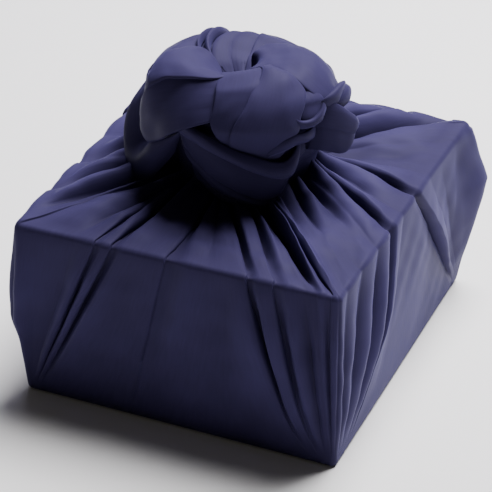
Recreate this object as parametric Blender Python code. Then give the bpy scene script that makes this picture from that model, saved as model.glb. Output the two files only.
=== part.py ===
"""Cloth wrap tied over a box: one closed solid. Metres, +Z up, origin at the centre of the flat underside."""

from typing import NamedTuple

import bmesh
import bpy
import numpy as np

MM = 0.001

# Box-shaped bundle
WIDTH = 235.0
DEPTH = 262.0
HEIGHT = 135.0
EDGE_ROUND = 4.0
FOOT_INSET = 5.0
FOLD_GAP = 1.0
SIDE_BULGE = 1.5
FOLD_STRENGTH = 1.3
BRINK_STRENGTH = 0.6
CORNER_PUFF = 5.0
FIN_OUT = 19.0
FIN_HEIGHT = 88.0
FIN_SPREAD = 34.0
BACK_FIN_OUT = 9.0

# Neck and knot
KNOT_X = -7.0
KNOT_Y = -3.0
NECK_REACH = 46.0
NECK_RISE = 7.0
TUBE_REACH = 38.0
TUBE_RISE = 58.0
CORE_SIDES = 30

SIDE_LEVELS = (0.0, 0.06, 0.14, 0.24, 0.35, 0.46, 0.57, 0.68, 0.79, 0.89)
TOP_STEPS = (0.07, 0.16, 0.28, 0.42, 0.57, 0.72, 0.86, 1.0)


class Fold(NamedTuple):
    """One fold line from the bottom edge, up a side and over the top to the neck, in mm and degrees."""

    root: float
    edge: float
    curve: float
    turn: float
    low: float
    mid: float
    brink: float
    brow: float
    gather: float


# Root and edge are measured along the side from its middle, anticlockwise seen from above.
# Turn is the direction in which the line meets the neck. The rest is how far it stands out.
FRONT = (
    Fold(-114, -113, 1.00, -134, 0.5, 1.5, 0.5, 1.5, 2.0),
    Fold(-113, -97, 1.00, -129, 0.0, 1.0, 0.5, 4.0, 5.0),
    Fold(-112, -80, 1.00, -126, 0.0, 0.5, 0.5, 2.0, 2.5),
    Fold(-111, -66, 1.00, -123, 1.0, 2.0, 1.5, 1.5, 2.0),
    Fold(-110, -59, 1.00, -121, -0.5, -2.0, -1.0, 0.5, 0.0),
    Fold(-109, -53, 1.00, -119, 1.5, 3.0, 2.0, 2.5, 3.5),
    Fold(-107, -47, 1.00, -117, -0.5, -2.0, -2.0, -0.5, 0.0),
    Fold(-104, -39, 1.00, -113, 1.0, 1.5, 1.5, 3.5, 4.0),
    Fold(-90, -28, 1.00, -107, 0.0, 0.0, 0.5, 1.5, 1.5),
    Fold(-72, -17, 1.00, -99, 0.0, 0.5, 1.5, 2.5, 3.0),
    Fold(-56, -9, 1.00, -92, 0.0, -1.5, -2.0, 0.0, 0.0),
    Fold(-36, 0, 1.00, -88, 0.0, 0.5, 1.5, 3.0, 4.0),
    Fold(0, 16, 1.00, -85, 0.0, 0.0, 0.0, 1.0, 1.0),
    Fold(46, 30, 1.00, -82, 0.0, 0.0, 0.5, 2.0, 3.0),
    Fold(98, 40, 0.65, -79, 0.5, 1.5, 1.5, 3.0, 4.0),
    Fold(107, 48, 0.55, -76, -1.0, -3.0, -2.5, -0.5, 0.0),
    Fold(109, 55, 0.55, -72, 1.5, 2.5, 2.0, 3.5, 4.5),
    Fold(110, 62, 0.60, -68, 0.0, 0.0, 0.0, 0.5, 0.5),
    Fold(111, 69, 0.70, -64, 1.5, 2.0, 1.5, 3.5, 5.0),
    Fold(112, 76, 0.75, -60, -0.5, -1.5, -1.0, 0.0, -0.5),
    Fold(113, 86, 0.80, -56, 1.0, 1.0, 1.0, 2.5, 2.0),
    Fold(114, 96, 0.85, -52, -0.5, -1.5, -2.0, -0.5, 0.0),
    Fold(115, 105, 0.90, -48, 0.5, 1.0, 0.5, 3.5, 3.5),
    Fold(116, 112, 1.00, -45, 0.0, 0.0, -0.5, 0.5, 0.5),
)
RIGHT = (
    Fold(-127, -126, 1.00, -34, 0.5, 0.5, 0.5, 4.0, 5.0),
    Fold(-126, -117, 0.90, -20, 0.0, -0.5, -0.5, 3.5, 4.0),
    Fold(-125, -106, 0.80, -6, 1.0, 1.0, 1.0, 4.5, 6.5),
    Fold(-124, -90, 0.70, 2, 0.0, -1.0, -1.0, 2.5, 2.0),
    Fold(-123, -74, 0.60, 9, 1.5, 2.0, 1.5, 4.5, 6.5),
    Fold(-122, -60, 0.55, 13, 0.0, -0.5, -0.5, 3.0, 3.0),
    Fold(-121, -46, 0.50, 17, 1.5, 3.0, 2.0, 6.0, 7.5),
    Fold(-120, -38, 0.50, 20, -1.0, -3.5, -3.5, -0.5, 0.0),
    Fold(-117, -27, 0.60, 24, 1.5, 3.0, 2.0, 4.0, 5.0),
    Fold(-62, -12, 1.00, 30, 0.0, 0.5, 0.5, 2.0, 2.5),
    Fold(62, 5, 1.00, 37, 0.0, 0.5, 1.5, 3.5, 4.5),
    Fold(118, 14, 1.00, 42, -1.0, -3.0, -3.0, -0.5, 0.0),
    Fold(120, 24, 1.00, 45, 1.5, 3.0, 2.0, 3.5, 4.5),
    Fold(122, 46, 1.00, 48, 0.5, 1.5, 0.5, 2.0, 3.0),
    Fold(123, 70, 1.00, 50, 0.5, 0.5, 0.5, 0.5, 1.0),
    Fold(124, 98, 1.00, 52, 1.0, 2.0, 1.0, 4.0, 5.0),
    Fold(126, 119, 1.00, 54, 1.0, 2.5, 0.5, 3.0, 4.0),
)
BACK = (
    Fold(-114, -112, 1.00, 58, 1.5, 2.0, -0.5, -0.5, 0.0),
    Fold(-112, -96, 1.00, 61, 1.0, 1.0, 1.0, 4.0, 5.0),
    Fold(-110, -80, 1.00, 64, 0.5, 1.5, 1.5, 5.0, 5.5),
    Fold(-106, -62, 1.00, 68, -0.5, -2.0, -1.5, 0.0, 0.0),
    Fold(-100, -50, 0.90, 72, 0.5, 1.5, 1.5, 3.5, 5.0),
    Fold(-78, -34, 1.00, 78, 0.0, -1.0, -1.5, 0.0, 0.5),
    Fold(-50, -20, 1.00, 84, 0.0, 0.5, 1.0, 3.0, 4.0),
    Fold(10, 2, 1.00, 92, 0.0, 0.0, 0.0, 1.0, 2.0),
    Fold(96, 20, 0.70, 100, 1.0, 2.0, 1.5, 3.0, 5.0),
    Fold(106, 30, 0.65, 105, -1.0, -3.0, -2.5, 0.0, 0.0),
    Fold(108, 38, 0.65, 110, 1.5, 2.5, 2.0, 3.5, 4.0),
    Fold(110, 60, 0.80, 117, 0.0, 0.5, 0.5, 1.0, 1.5),
    Fold(111, 76, 0.85, 123, -0.5, -2.0, -1.5, 0.0, 0.0),
    Fold(112, 86, 0.90, 127, 1.5, 2.5, 2.0, 3.5, 5.0),
    Fold(113, 103, 1.00, 132, 0.0, 1.0, 0.5, 1.0, 1.0),
    Fold(114, 113, 1.00, 136, 0.5, 1.0, 0.5, 3.0, 4.0),
)
LEFT = (
    Fold(-127, -126, 1.00, 141, 0.5, 1.0, 0.5, 2.0, 3.0),
    Fold(-124, -110, 1.00, 145, 0.0, 1.0, 0.5, 1.0, 2.0),
    Fold(-122, -92, 1.00, 149, 1.0, 2.0, 1.5, 3.5, 4.5),
    Fold(-120, -80, 1.00, 153, -1.0, -2.5, -2.0, 0.0, 0.0),
    Fold(-108, -66, 1.00, 158, 0.5, 1.0, 2.0, 4.5, 5.0),
    Fold(-72, -44, 1.00, 163, 0.0, -1.0, -1.5, 0.0, 0.0),
    Fold(-42, -25, 1.00, 169, 0.0, 0.5, 2.5, 5.0, 5.5),
    Fold(-10, -4, 1.00, 175, 0.0, -0.5, -0.5, 1.0, 0.5),
    Fold(36, 20, 1.00, 181, 0.0, 0.5, 2.5, 4.5, 4.5),
    Fold(96, 42, 0.80, 187, -0.5, -2.0, -1.5, 0.0, 0.0),
    Fold(112, 54, 0.80, 191, 1.5, 2.5, 2.0, 4.0, 4.5),
    Fold(118, 68, 0.85, 196, 0.5, 1.0, 0.5, 2.0, 2.0),
    Fold(121, 84, 0.90, 202, -0.5, -1.5, -1.0, -0.5, 0.0),
    Fold(123, 97, 1.00, 209, 1.0, 2.5, 2.0, 5.0, 7.0),
    Fold(125, 110, 1.00, 217, 0.5, 1.0, 0.5, 0.0, 0.0),
    Fold(127, 123, 1.00, 222, 0.5, 1.5, 0.5, 1.5, 3.0),
)


class Corner(NamedTuple):
    """An upright corner of the bundle: neck direction, how far its cloth puffs out and at what height."""

    turn: float
    puff: float
    height: float
    brow: float
    gather: float


CORNERS = (
    Corner(-137, CORNER_PUFF, 62, 0.5, 0.5),
    Corner(-40, 1.0, 60, 4.0, 5.0),
    Corner(56, FIN_OUT, FIN_HEIGHT, -0.5, 0.0),
    Corner(138, BACK_FIN_OUT, 75, 1.0, 2.0),
)


class Station(NamedTuple):
    """One cross-section of a knot band: its two edges as turn, reach and rise, and how far it bulges."""

    turn: float
    reach: float
    rise: float
    far_turn: float
    far_reach: float
    far_rise: float
    puff: float


BANDS = {
    "collar": (
        Station(-150, 48, 50, -140, 42, 14, 3),
        Station(-122, 53, 60, -118, 44, 14, 4),
        Station(-98, 58, 60, -100, 47, 10, 5),
        Station(-77, 61, 54, -84, 49, 4, 5),
        Station(-59, 62, 46, -66, 50, 1, 5),
        Station(-42, 62, 40, -46, 50, 0, 4),
        Station(-28, 60, 42, -30, 49, 6, 3),
        Station(-12, 56, 44, -14, 46, 8, 2),
    ),
    "back_collar": (
        Station(-20, 54, 40, -20, 45, 4, 3),
        Station(15, 58, 42, 15, 48, 4, 4),
        Station(50, 60, 40, 50, 49, 2, 4),
        Station(90, 59, 44, 92, 48, 4, 5),
        Station(130, 60, 40, 128, 48, 2, 4),
        Station(170, 57, 44, 172, 47, 6, 4),
        Station(205, 50, 46, 205, 43, 10, 3),
    ),
    "back_wrap": (
        Station(20, 62, 64, 22, 62, 38, 4),
        Station(52, 68, 66, 50, 66, 34, 5),
        Station(85, 71, 66, 84, 68, 34, 6),
        Station(118, 71, 68, 118, 69, 34, 6),
        Station(150, 70, 70, 148, 68, 38, 5),
        Station(182, 66, 70, 180, 64, 40, 4),
        Station(206, 58, 66, 204, 58, 42, 3),
    ),
    "back_band": (
        Station(-172, 17, 78, 128, 17, 74, 2),
        Station(172, 33, 91, 98, 30, 84, 3),
        Station(160, 48, 92, 90, 43, 88, 4),
        Station(156, 60, 84, 88, 57, 82, 4),
        Station(152, 68, 70, 88, 66, 68, 4),
        Station(148, 66, 54, 90, 66, 52, 3),
    ),
    "left_crown": (
        Station(160, 26, 90, -172, 16, 82, 2),
        Station(168, 44, 92, -160, 30, 92, 3),
        Station(176, 56, 84, -150, 46, 90, 3),
        Station(-170, 62, 72, -144, 56, 84, 3),
        Station(-162, 66, 60, -144, 62, 70, 3),
    ),
    "right_crescent": (
        Station(92, 26, 82, 70, 15, 74, 2),
        Station(66, 34, 88, 22, 22, 82, 4),
        Station(54, 42, 87, -12, 37, 88, 6),
        Station(43, 51, 84, -14, 50, 88, 6),
        Station(32, 60, 78, -12, 60, 83, 5),
        Station(24, 67, 68, -8, 66, 74, 4),
        Station(20, 68, 56, -8, 67, 62, 3),
    ),
    "upper_left": (
        Station(-158, 60, 74, -146, 64, 72, 2),
        Station(-152, 56, 86, -133, 62, 83, 3),
        Station(-158, 49, 93, -122, 57, 89, 4),
        Station(-160, 36, 96, -108, 52, 93, 5),
        Station(-160, 22, 91, -95, 49, 94, 4),
        Station(-168, 14, 80, -84, 42, 90, 2),
    ),
    "front_left": (
        Station(-144, 66, 64, -142, 62, 40, 2),
        Station(-134, 70, 72, -134, 69, 41, 3),
        Station(-126, 66, 83, -114, 74, 52, 4),
        Station(-114, 60, 90, -99, 75, 66, 5),
        Station(-100, 54, 93, -88, 73, 73, 4),
        Station(-87, 47, 91, -82, 67, 77, 2),
        Station(-76, 44, 86, -72, 62, 72, 1),
    ),
    "front_pad": (
        Station(-112, 15, 76, -30, 17, 72, 1),
        Station(-92, 30, 92, -24, 26, 86, 3),
        Station(-84, 44, 98, -20, 40, 95, 5),
        Station(-83, 58, 95, -23, 58, 90, 7),
        Station(-82, 68, 87, -28, 69, 83, 8),
        Station(-81, 73, 79, -35, 74, 74, 7),
        Station(-78, 75, 71, -41, 76, 62, 6),
        Station(-70, 73, 62, -45, 73, 52, 4),
        Station(-66, 62, 54, -50, 62, 46, 2),
    ),
    "left_loop": (
        Station(-170, 62, 84, -152, 58, 80, 2),
        Station(-161, 73, 73, -145, 67, 74, 2),
        Station(-158, 79, 58, -142, 70, 64, 3),
        Station(-157, 82, 43, -140, 71, 54, 3),
        Station(-155, 82, 29, -138, 71, 46, 3),
        Station(-149, 80, 18, -134, 69, 41, 4),
        Station(-139, 76, 13, -128, 68, 41, 4),
        Station(-129, 70, 15, -122, 64, 42, 4),
        Station(-122, 60, 24, -116, 58, 43, 2),
    ),
    "tuck_face": (
        Station(-33, 66, 88, -33, 66, 62, 1),
        Station(-24, 70, 84, -27, 72, 60, 2),
        Station(-16, 71, 78, -18, 73, 56, 2),
        Station(-10, 66, 72, -12, 67, 54, 1),
    ),
    "tuck_lip": (
        Station(-30, 74, 77, -34, 72, 71, 2),
        Station(-25, 75, 73, -30, 73, 66, 3),
        Station(-20, 76, 66, -27, 74, 63, 3),
        Station(-19, 76, 57, -27, 74, 61, 3),
        Station(-24, 75, 51, -31, 73, 59, 3),
        Station(-40, 74, 51, -42, 74, 59, 3),
        Station(-45, 68, 45, -48, 70, 52, 1),
    ),
    "right_tab": (
        Station(-18, 62, 66, -26, 62, 42, 1),
        Station(-10, 71, 72, -18, 71, 43, 3),
        Station(-4, 78, 70, -11, 76, 42, 4),
        Station(0, 84, 65, -5, 81, 42, 3),
        Station(4, 84, 60, -1, 80, 40, 1),
    ),
    "ruffle": (
        Station(-4, 70, 84, 9, 75, 76, 2),
        Station(-7, 72, 84, 6, 79, 74, 3),
        Station(-10, 72, 79, 3, 78, 70, 3),
        Station(-14, 67, 75, -7, 69, 69, 2),
    ),
}
BAND_DEPTH = {"left_loop": 10.0, "right_tab": 8.0, "tuck_lip": 5.0, "ruffle": 9.0, "tuck_face": 9.0}
CORE_PROFILE = (
    (0.0, 70.0), (9.0, 71.0), (18.0, 76.0), (28.0, 82.0), (39.0, 84.0), (50.0, 80.0), (59.0, 70.0),
    (62.0, 58.0), (59.0, 45.0), (53.0, 32.0), (47.0, 18.0), (44.0, 6.0), (43.0, -8.0), (0.0, -8.0),
)


def clear_scene() -> None:
    """Removes what the startup scene holds."""
    for obj in list(bpy.data.objects):
        bpy.data.objects.remove(obj, do_unlink=True)


def cloth_finish() -> bpy.types.Material:
    """The dark blue cloth."""
    finish = bpy.data.materials.new("navy_cloth")
    finish.use_nodes = True
    shader = finish.node_tree.nodes["Principled BSDF"]
    shader.inputs["Base Color"].default_value = (0.035, 0.035, 0.11, 1.0)
    shader.inputs["Roughness"].default_value = 0.7
    finish.diffuse_color = (0.035, 0.035, 0.11, 1.0)
    return finish


def mesh_object(name: str, points, faces) -> bpy.types.Object:
    """A mesh object from points in mm."""
    mesh = bpy.data.meshes.new(name)
    mesh.from_pydata([tuple(float(c) * MM for c in p) for p in points], [], [tuple(f) for f in faces])
    mesh.update()
    obj = bpy.data.objects.new(name, mesh)
    bpy.context.scene.collection.objects.link(obj)
    shell = bmesh.new()
    shell.from_mesh(mesh)
    bmesh.ops.recalc_face_normals(shell, faces=shell.faces)
    shell.to_mesh(mesh)
    shell.free()
    return obj


def spread(places, first: float, last: float):
    """Keeps neighbouring fold lines apart on one level, between the side's two corners."""
    places = np.array(places, float)
    for index in range(len(places)):
        places[index] = max(places[index], (first if index == 0 else places[index - 1]) + FOLD_GAP)
    for index in reversed(range(len(places))):
        places[index] = min(places[index], (last if index == len(places) - 1 else places[index + 1]) - FOLD_GAP)
    return places


def sides():
    """Each side's start corner, direction along it, direction out of it, half length and folds."""
    half_w, half_d = WIDTH / 2, DEPTH / 2
    return (
        (np.array((0.0, -half_d)), np.array((1.0, 0.0)), half_w, FRONT, SIDE_BULGE),
        (np.array((half_w, 0.0)), np.array((0.0, 1.0)), half_d, RIGHT, 2 * SIDE_BULGE),
        (np.array((0.0, half_d)), np.array((-1.0, 0.0)), half_w, BACK, 2 * SIDE_BULGE),
        (np.array((-half_w, 0.0)), np.array((0.0, -1.0)), half_d, LEFT, 2 * SIDE_BULGE),
    )


def along_side(level: float):
    """Plan points and outward directions of every fold line at one level, corners included."""
    points, outs, stands = [], [], []
    for index, (middle, along, half, folds, bulge) in enumerate(sides()):
        out = np.array((along[1], -along[0]))
        corner, nxt = CORNERS[index], CORNERS[(index + 1) % 4]
        before = sides()[index - 1][1]
        diagonal = (out + np.array((before[1], -before[0]))) / np.sqrt(2.0)
        height = level * HEIGHT
        points.append(middle - along * half)
        outs.append(diagonal)
        stands.append(fin_shape(corner, height))
        row = [fold.root + (fold.edge - fold.root) * level ** fold.curve for fold in folds]
        row = spread(row, -half, half)
        for fold, place in zip(folds, row):
            brink = fold.brink * BRINK_STRENGTH
            low, mid = fold.low * FOLD_STRENGTH, fold.mid * FOLD_STRENGTH
            stand = np.interp(level, (0.0, 0.05, 0.25, 0.6, 1.0), (0.0, 0.0, low, mid, brink))
            stand += bulge * np.sin(np.pi * level) * (1.0 - (place / half) ** 2)
            near_first = max(0.0, 1.0 - (place + half) / FIN_SPREAD)
            near_last = max(0.0, 1.0 - (half - place) / FIN_SPREAD)
            stand += near_first ** 1.5 * fin_shape(corner, height) * 0.7
            stand += near_last ** 1.5 * fin_shape(nxt, height) * 0.7
            lean = 0.45 * (near_last ** 1.5 * fin_shape(nxt, height) - near_first ** 1.5 * fin_shape(corner, height))
            points.append(middle + along * (place + lean))
            outs.append(out)
            stands.append(stand)
    return np.array(points), np.array(outs), np.array(stands)


def fin_shape(corner: Corner, height: float) -> float:
    """How far a corner's loose cloth stands out at a height."""
    below = np.clip(height / corner.height, 0.0, 1.0)
    above = np.clip((HEIGHT - height) / (HEIGHT - corner.height), 0.0, 1.0)
    return corner.puff * float(below ** 1.15 if height < corner.height else above ** 0.9)


def neck_points():
    """Where each fold line meets the neck, and its height over the top on the way."""
    turns, brows, gathers, brinks = [], [], [], []
    for index, (_, _, _, folds, _) in enumerate(sides()):
        corner = CORNERS[index]
        turns.append(corner.turn)
        brows.append(corner.brow)
        gathers.append(corner.gather)
        brinks.append(0.0)
        for fold in folds:
            turns.append(fold.turn)
            brows.append(fold.brow * FOLD_STRENGTH)
            gathers.append(fold.gather * FOLD_STRENGTH)
            brinks.append(fold.brink)
    angle = np.radians(turns)
    plan = np.stack((KNOT_X + NECK_REACH * np.cos(angle), KNOT_Y + NECK_REACH * np.sin(angle)), 1)
    return plan, np.array(brows), np.array(gathers), np.array(brinks)


def bundle() -> bpy.types.Object:
    """The wrapped box with its fanned folds, up into the neck."""
    rings = []
    plan, outs, _ = along_side(0.0)
    count = len(plan)
    rings.append(np.column_stack((plan * 0.5, np.zeros(count))))
    rings.append(np.column_stack((plan - outs * FOOT_INSET, np.zeros(count))))
    rings.append(np.column_stack((plan - outs * 1.2, np.full(count, 1.4))))
    for level in SIDE_LEVELS:
        plan, outs, stands = along_side(level)
        height = EDGE_ROUND + level * (HEIGHT - 2 * EDGE_ROUND)
        rings.append(np.column_stack((plan + outs * stands[:, None], np.full(count, height))))
    plan, outs, stands = along_side(1.0)
    neck, brows, gathers, brinks = neck_points()
    edge = plan + outs * stands[:, None]
    rings.append(np.column_stack((edge - outs * 0.2, np.full(count, HEIGHT - 3.6) + 0.4 * brinks)))
    rings.append(np.column_stack((edge - outs * 1.6, np.full(count, HEIGHT - 1.2) + 0.7 * brinks)))
    start = edge - outs * EDGE_ROUND
    for step in TOP_STEPS:
        spot = start + (neck - start) * step
        rise = np.array([
            np.interp(step, (0.0, 0.45, 0.85, 1.0), (max(brink, -0.5), brow, gather, gather + 1.0))
            for brow, gather, brink in zip(brows, gathers, brinks)
        ])
        rings.append(np.column_stack((spot, HEIGHT + rise + NECK_RISE * step ** 2.2)))
    centre = np.array((KNOT_X, KNOT_Y))
    rings.append(np.column_stack((centre + (neck - centre) * 0.82, np.full(count, HEIGHT + 22.0))))
    points = np.concatenate(rings)
    faces = []
    for ring in range(len(rings) - 1):
        for k in range(count):
            a, b = ring * count + k, ring * count + (k + 1) % count
            faces.append((a, b, b + count, a + count))
    low, high = len(points), len(points) + 1
    points = np.concatenate((points, [(0.0, 0.0, 0.0), (KNOT_X, KNOT_Y, HEIGHT + 24.0)]))
    top = (len(rings) - 1) * count
    for k in range(count):
        faces.append((low, (k + 1) % count, k))
        faces.append((high, top + k, top + (k + 1) % count))
    return mesh_object("wrap_cloth", points, faces)


def knot_core() -> bpy.types.Object:
    """The rounded lump under the bands, with the hollow in its middle."""
    points, faces = [], []
    for reach, rise in CORE_PROFILE[1:-1]:
        for k in range(CORE_SIDES):
            angle = 2 * np.pi * k / CORE_SIDES
            points.append((KNOT_X + reach * np.cos(angle), KNOT_Y + reach * np.sin(angle), HEIGHT + rise))
    rows = len(CORE_PROFILE) - 2
    for row in range(rows - 1):
        for k in range(CORE_SIDES):
            a, b = row * CORE_SIDES + k, row * CORE_SIDES + (k + 1) % CORE_SIDES
            faces.append((a, b, b + CORE_SIDES, a + CORE_SIDES))
    points.append((KNOT_X, KNOT_Y, HEIGHT + CORE_PROFILE[0][1]))
    points.append((KNOT_X, KNOT_Y, HEIGHT + CORE_PROFILE[-1][1]))
    last = (rows - 1) * CORE_SIDES
    for k in range(CORE_SIDES):
        faces.append((len(points) - 2, (k + 1) % CORE_SIDES, k))
        faces.append((len(points) - 1, last + k, last + (k + 1) % CORE_SIDES))
    return mesh_object("knot_core", points, faces)


def around(turn: float, reach: float, rise: float):
    """A point about the knot's upright axis."""
    angle = np.radians(turn)
    return np.array((KNOT_X + reach * np.cos(angle), KNOT_Y + reach * np.sin(angle), HEIGHT + rise))


def outward(point):
    """Direction out of the ring that the bands are wound on."""
    plan = np.array((point[0] - KNOT_X, point[1] - KNOT_Y))
    plan = plan / max(np.linalg.norm(plan), 1e-6) * TUBE_REACH
    away = point - np.array((KNOT_X + plan[0], KNOT_Y + plan[1], HEIGHT + TUBE_RISE))
    return away / max(np.linalg.norm(away), 1e-6)


def smooth_row(rows, place: float):
    """A row between the given ones, on a smooth curve through them."""
    index = min(int(place), len(rows) - 2)
    t = place - index
    p1, p2 = rows[index], rows[index + 1]
    p0 = rows[index - 1] if index > 0 else 2 * p1 - p2
    p3 = rows[index + 2] if index + 2 < len(rows) else 2 * p2 - p1
    return 0.5 * (2 * p1 + (p2 - p0) * t + (2 * p0 - 5 * p1 + 4 * p2 - p3) * t ** 2
                  + (3 * p1 - p0 - 3 * p2 + p3) * t ** 3)


def band(name: str, stations, steps: int = 2) -> bpy.types.Object:
    """A flattened, slightly bulging band of cloth through its stations."""
    depth = BAND_DEPTH.get(name, 11.0)
    rows = [np.concatenate((around(s.turn, s.reach, s.rise), around(s.far_turn, s.far_reach, s.far_rise), (s.puff,)))
            for s in stations]
    sections = []
    for k in range((len(rows) - 1) * steps + 1):
        row = smooth_row(rows, k / steps)
        near, far, puff = row[:3], row[3:6], row[6]
        section = []
        for across in (0.0, 0.1, 0.3, 0.5, 0.7, 0.9, 1.0):
            spot = near + (far - near) * across
            lift = puff * (1.0 - abs(2 * across - 1) ** 2.6)
            section.append(spot + outward(spot) * lift)
        for across in (0.97, 0.8, 0.5, 0.2, 0.03):
            spot = near + (far - near) * across
            drop = 3.0 if across in (0.97, 0.03) else depth
            section.append(spot - outward(spot) * drop)
        sections.append(section)
    width = len(sections[0])
    points = [point for section in sections for point in section]
    faces = []
    for row in range(len(sections) - 1):
        for k in range(width):
            a, b = row * width + k, row * width + (k + 1) % width
            faces.append((a, b, b + width, a + width))
    last = (len(sections) - 1) * width
    for base in (0, last):
        points.append(sum(np.array(points[base + k]) for k in range(width)) / width)
        for k in range(width):
            faces.append((len(points) - 1, base + k, base + (k + 1) % width))
    return mesh_object(name, points, faces)


def join(base: bpy.types.Object, pieces) -> None:
    """Makes one solid of the base and the pieces, with no closed hollow left between them."""
    for piece in pieces:
        union = base.modifiers.new(piece.name, "BOOLEAN")
        union.operation = "UNION"
        union.solver = "EXACT"
        union.object = piece
    bpy.context.view_layer.update()
    graph = bpy.context.evaluated_depsgraph_get()
    joined = bpy.data.meshes.new_from_object(base.evaluated_get(graph))
    base.modifiers.clear()
    for piece in pieces:
        bpy.data.objects.remove(piece, do_unlink=True)
    shell = bmesh.new()
    shell.from_mesh(joined)
    bmesh.ops.triangulate(shell, faces=shell.faces)
    bmesh.ops.dissolve_degenerate(shell, edges=shell.edges, dist=0.02 * MM)
    keep_outer(shell)
    shell.to_mesh(joined)
    shell.free()
    base.data = joined


def keep_outer(shell: bmesh.types.BMesh) -> None:
    """Leaves the largest surface and removes the closed hollows inside it."""
    unseen = set(shell.faces)
    islands = []
    while unseen:
        first = unseen.pop()
        island, edge = [first], [first]
        while edge:
            face = edge.pop()
            for side in face.edges:
                for other in side.link_faces:
                    if other in unseen:
                        unseen.remove(other)
                        island.append(other)
                        edge.append(other)
        islands.append(island)
    islands.sort(key=len, reverse=True)
    for island in islands[1:]:
        bmesh.ops.delete(shell, geom=island, context="FACES")


def main() -> None:
    """Builds the wrap."""
    clear_scene()
    wrap = bundle()
    core = knot_core()
    pieces = [core] + [band(name, stations) for name, stations in BANDS.items()]
    join(wrap, pieces)
    wrap.data.materials.append(cloth_finish())


if __name__ == "__main__":
    main()
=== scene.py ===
"""Cloth wrap tied over a box, put over its CAD frame: one sheet of navy cloth, stage, lights and camera."""

import logging
import math
from dataclasses import astuple, dataclass, field, replace
from enum import Enum

import bpy
import numpy as np
from mathutils import Matrix, Vector

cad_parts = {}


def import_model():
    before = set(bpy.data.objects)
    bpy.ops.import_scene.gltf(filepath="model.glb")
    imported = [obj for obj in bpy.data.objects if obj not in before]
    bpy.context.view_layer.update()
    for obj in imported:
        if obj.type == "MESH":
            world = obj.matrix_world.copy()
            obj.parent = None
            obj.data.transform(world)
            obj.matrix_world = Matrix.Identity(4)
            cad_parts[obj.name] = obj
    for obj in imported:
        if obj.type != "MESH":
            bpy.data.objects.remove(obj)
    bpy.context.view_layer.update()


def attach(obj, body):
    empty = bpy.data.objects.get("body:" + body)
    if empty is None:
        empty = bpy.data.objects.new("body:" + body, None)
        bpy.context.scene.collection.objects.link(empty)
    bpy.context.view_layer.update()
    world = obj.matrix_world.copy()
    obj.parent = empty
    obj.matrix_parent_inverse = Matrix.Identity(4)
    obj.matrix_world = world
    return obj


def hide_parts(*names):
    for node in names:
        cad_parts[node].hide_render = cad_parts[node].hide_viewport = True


log = logging.getLogger("wrap")
Array = np.ndarray
Triple = tuple[float, float, float]
Colour = tuple[float, float, float, float]
MM = 0.001
SHORTEST = 1e-6
# Plan place of the knot's axis and the height of the box under it, in mm.
HUB = np.array((-7.0, -3.0))
BASE = 135.0
# The waves of the soft unevenness, and how high they come out together.
WAVES = 9
WAVES_POWER = 0.5
WAVES_HEIGHT = 2.0
# A wave texture at scale 1 repeats after this many metres.
WAVE_TEXTURE_PITCH = 0.3142


class Side(Enum):
    """The four upright sides of the bundle, anticlockwise seen from above."""

    FRONT = 0
    RIGHT = 1
    BACK = 2
    LEFT = 3


@dataclass(frozen=True)
class Fold:
    """One fold line from a bottom edge, up a side and over the top to the neck, in mm and degrees.

    Root and edge are measured along the side from its middle. Turn is where the line meets the neck.
    The five heights say how far the cloth stands out on the way. Tuck slides the line under a neighbour.
    """

    root: float
    edge: float
    curve: float
    turn: float
    low: float
    mid: float
    brink: float
    brow: float
    gather: float
    tuck: float = 0.0


@dataclass(frozen=True)
class Corner:
    """An upright corner of the bundle, in mm and degrees.

    Turn is its neck direction. Puff is how far its loose cloth stands out, at this height and this wide.
    Brow, gather and brink are heights of the fold that runs from it, as in Fold.
    """

    turn: float
    puff: float
    height: float
    width: float
    brow: float
    gather: float
    brink: float = 0.0


@dataclass(frozen=True)
class Station:
    """A section of a knot band: turn, reach and rise of its two edges, and its bulge, in degrees and mm."""

    turn: float
    reach: float
    rise: float
    far_turn: float
    far_reach: float
    far_rise: float
    puff: float


@dataclass(frozen=True)
class Layer:
    """One fold of cloth in a band: its edges as shares across at the start, middle and end, and its lift."""

    near: Triple = (0.0, 0.0, 0.0)
    far: Triple = (1.0, 1.0, 1.0)
    lift: float = 0.0
    puff: float = 0.7


@dataclass
class Patch:
    """A grid of cloth points with its weave coordinates, before it joins the sheet."""

    points: Array
    faces: Array
    weave: Array
    # Fold heights that paint shade into the valleys and sheen, with a little wear, onto the crests.
    shade_sheen_and_wear: Array


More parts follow.
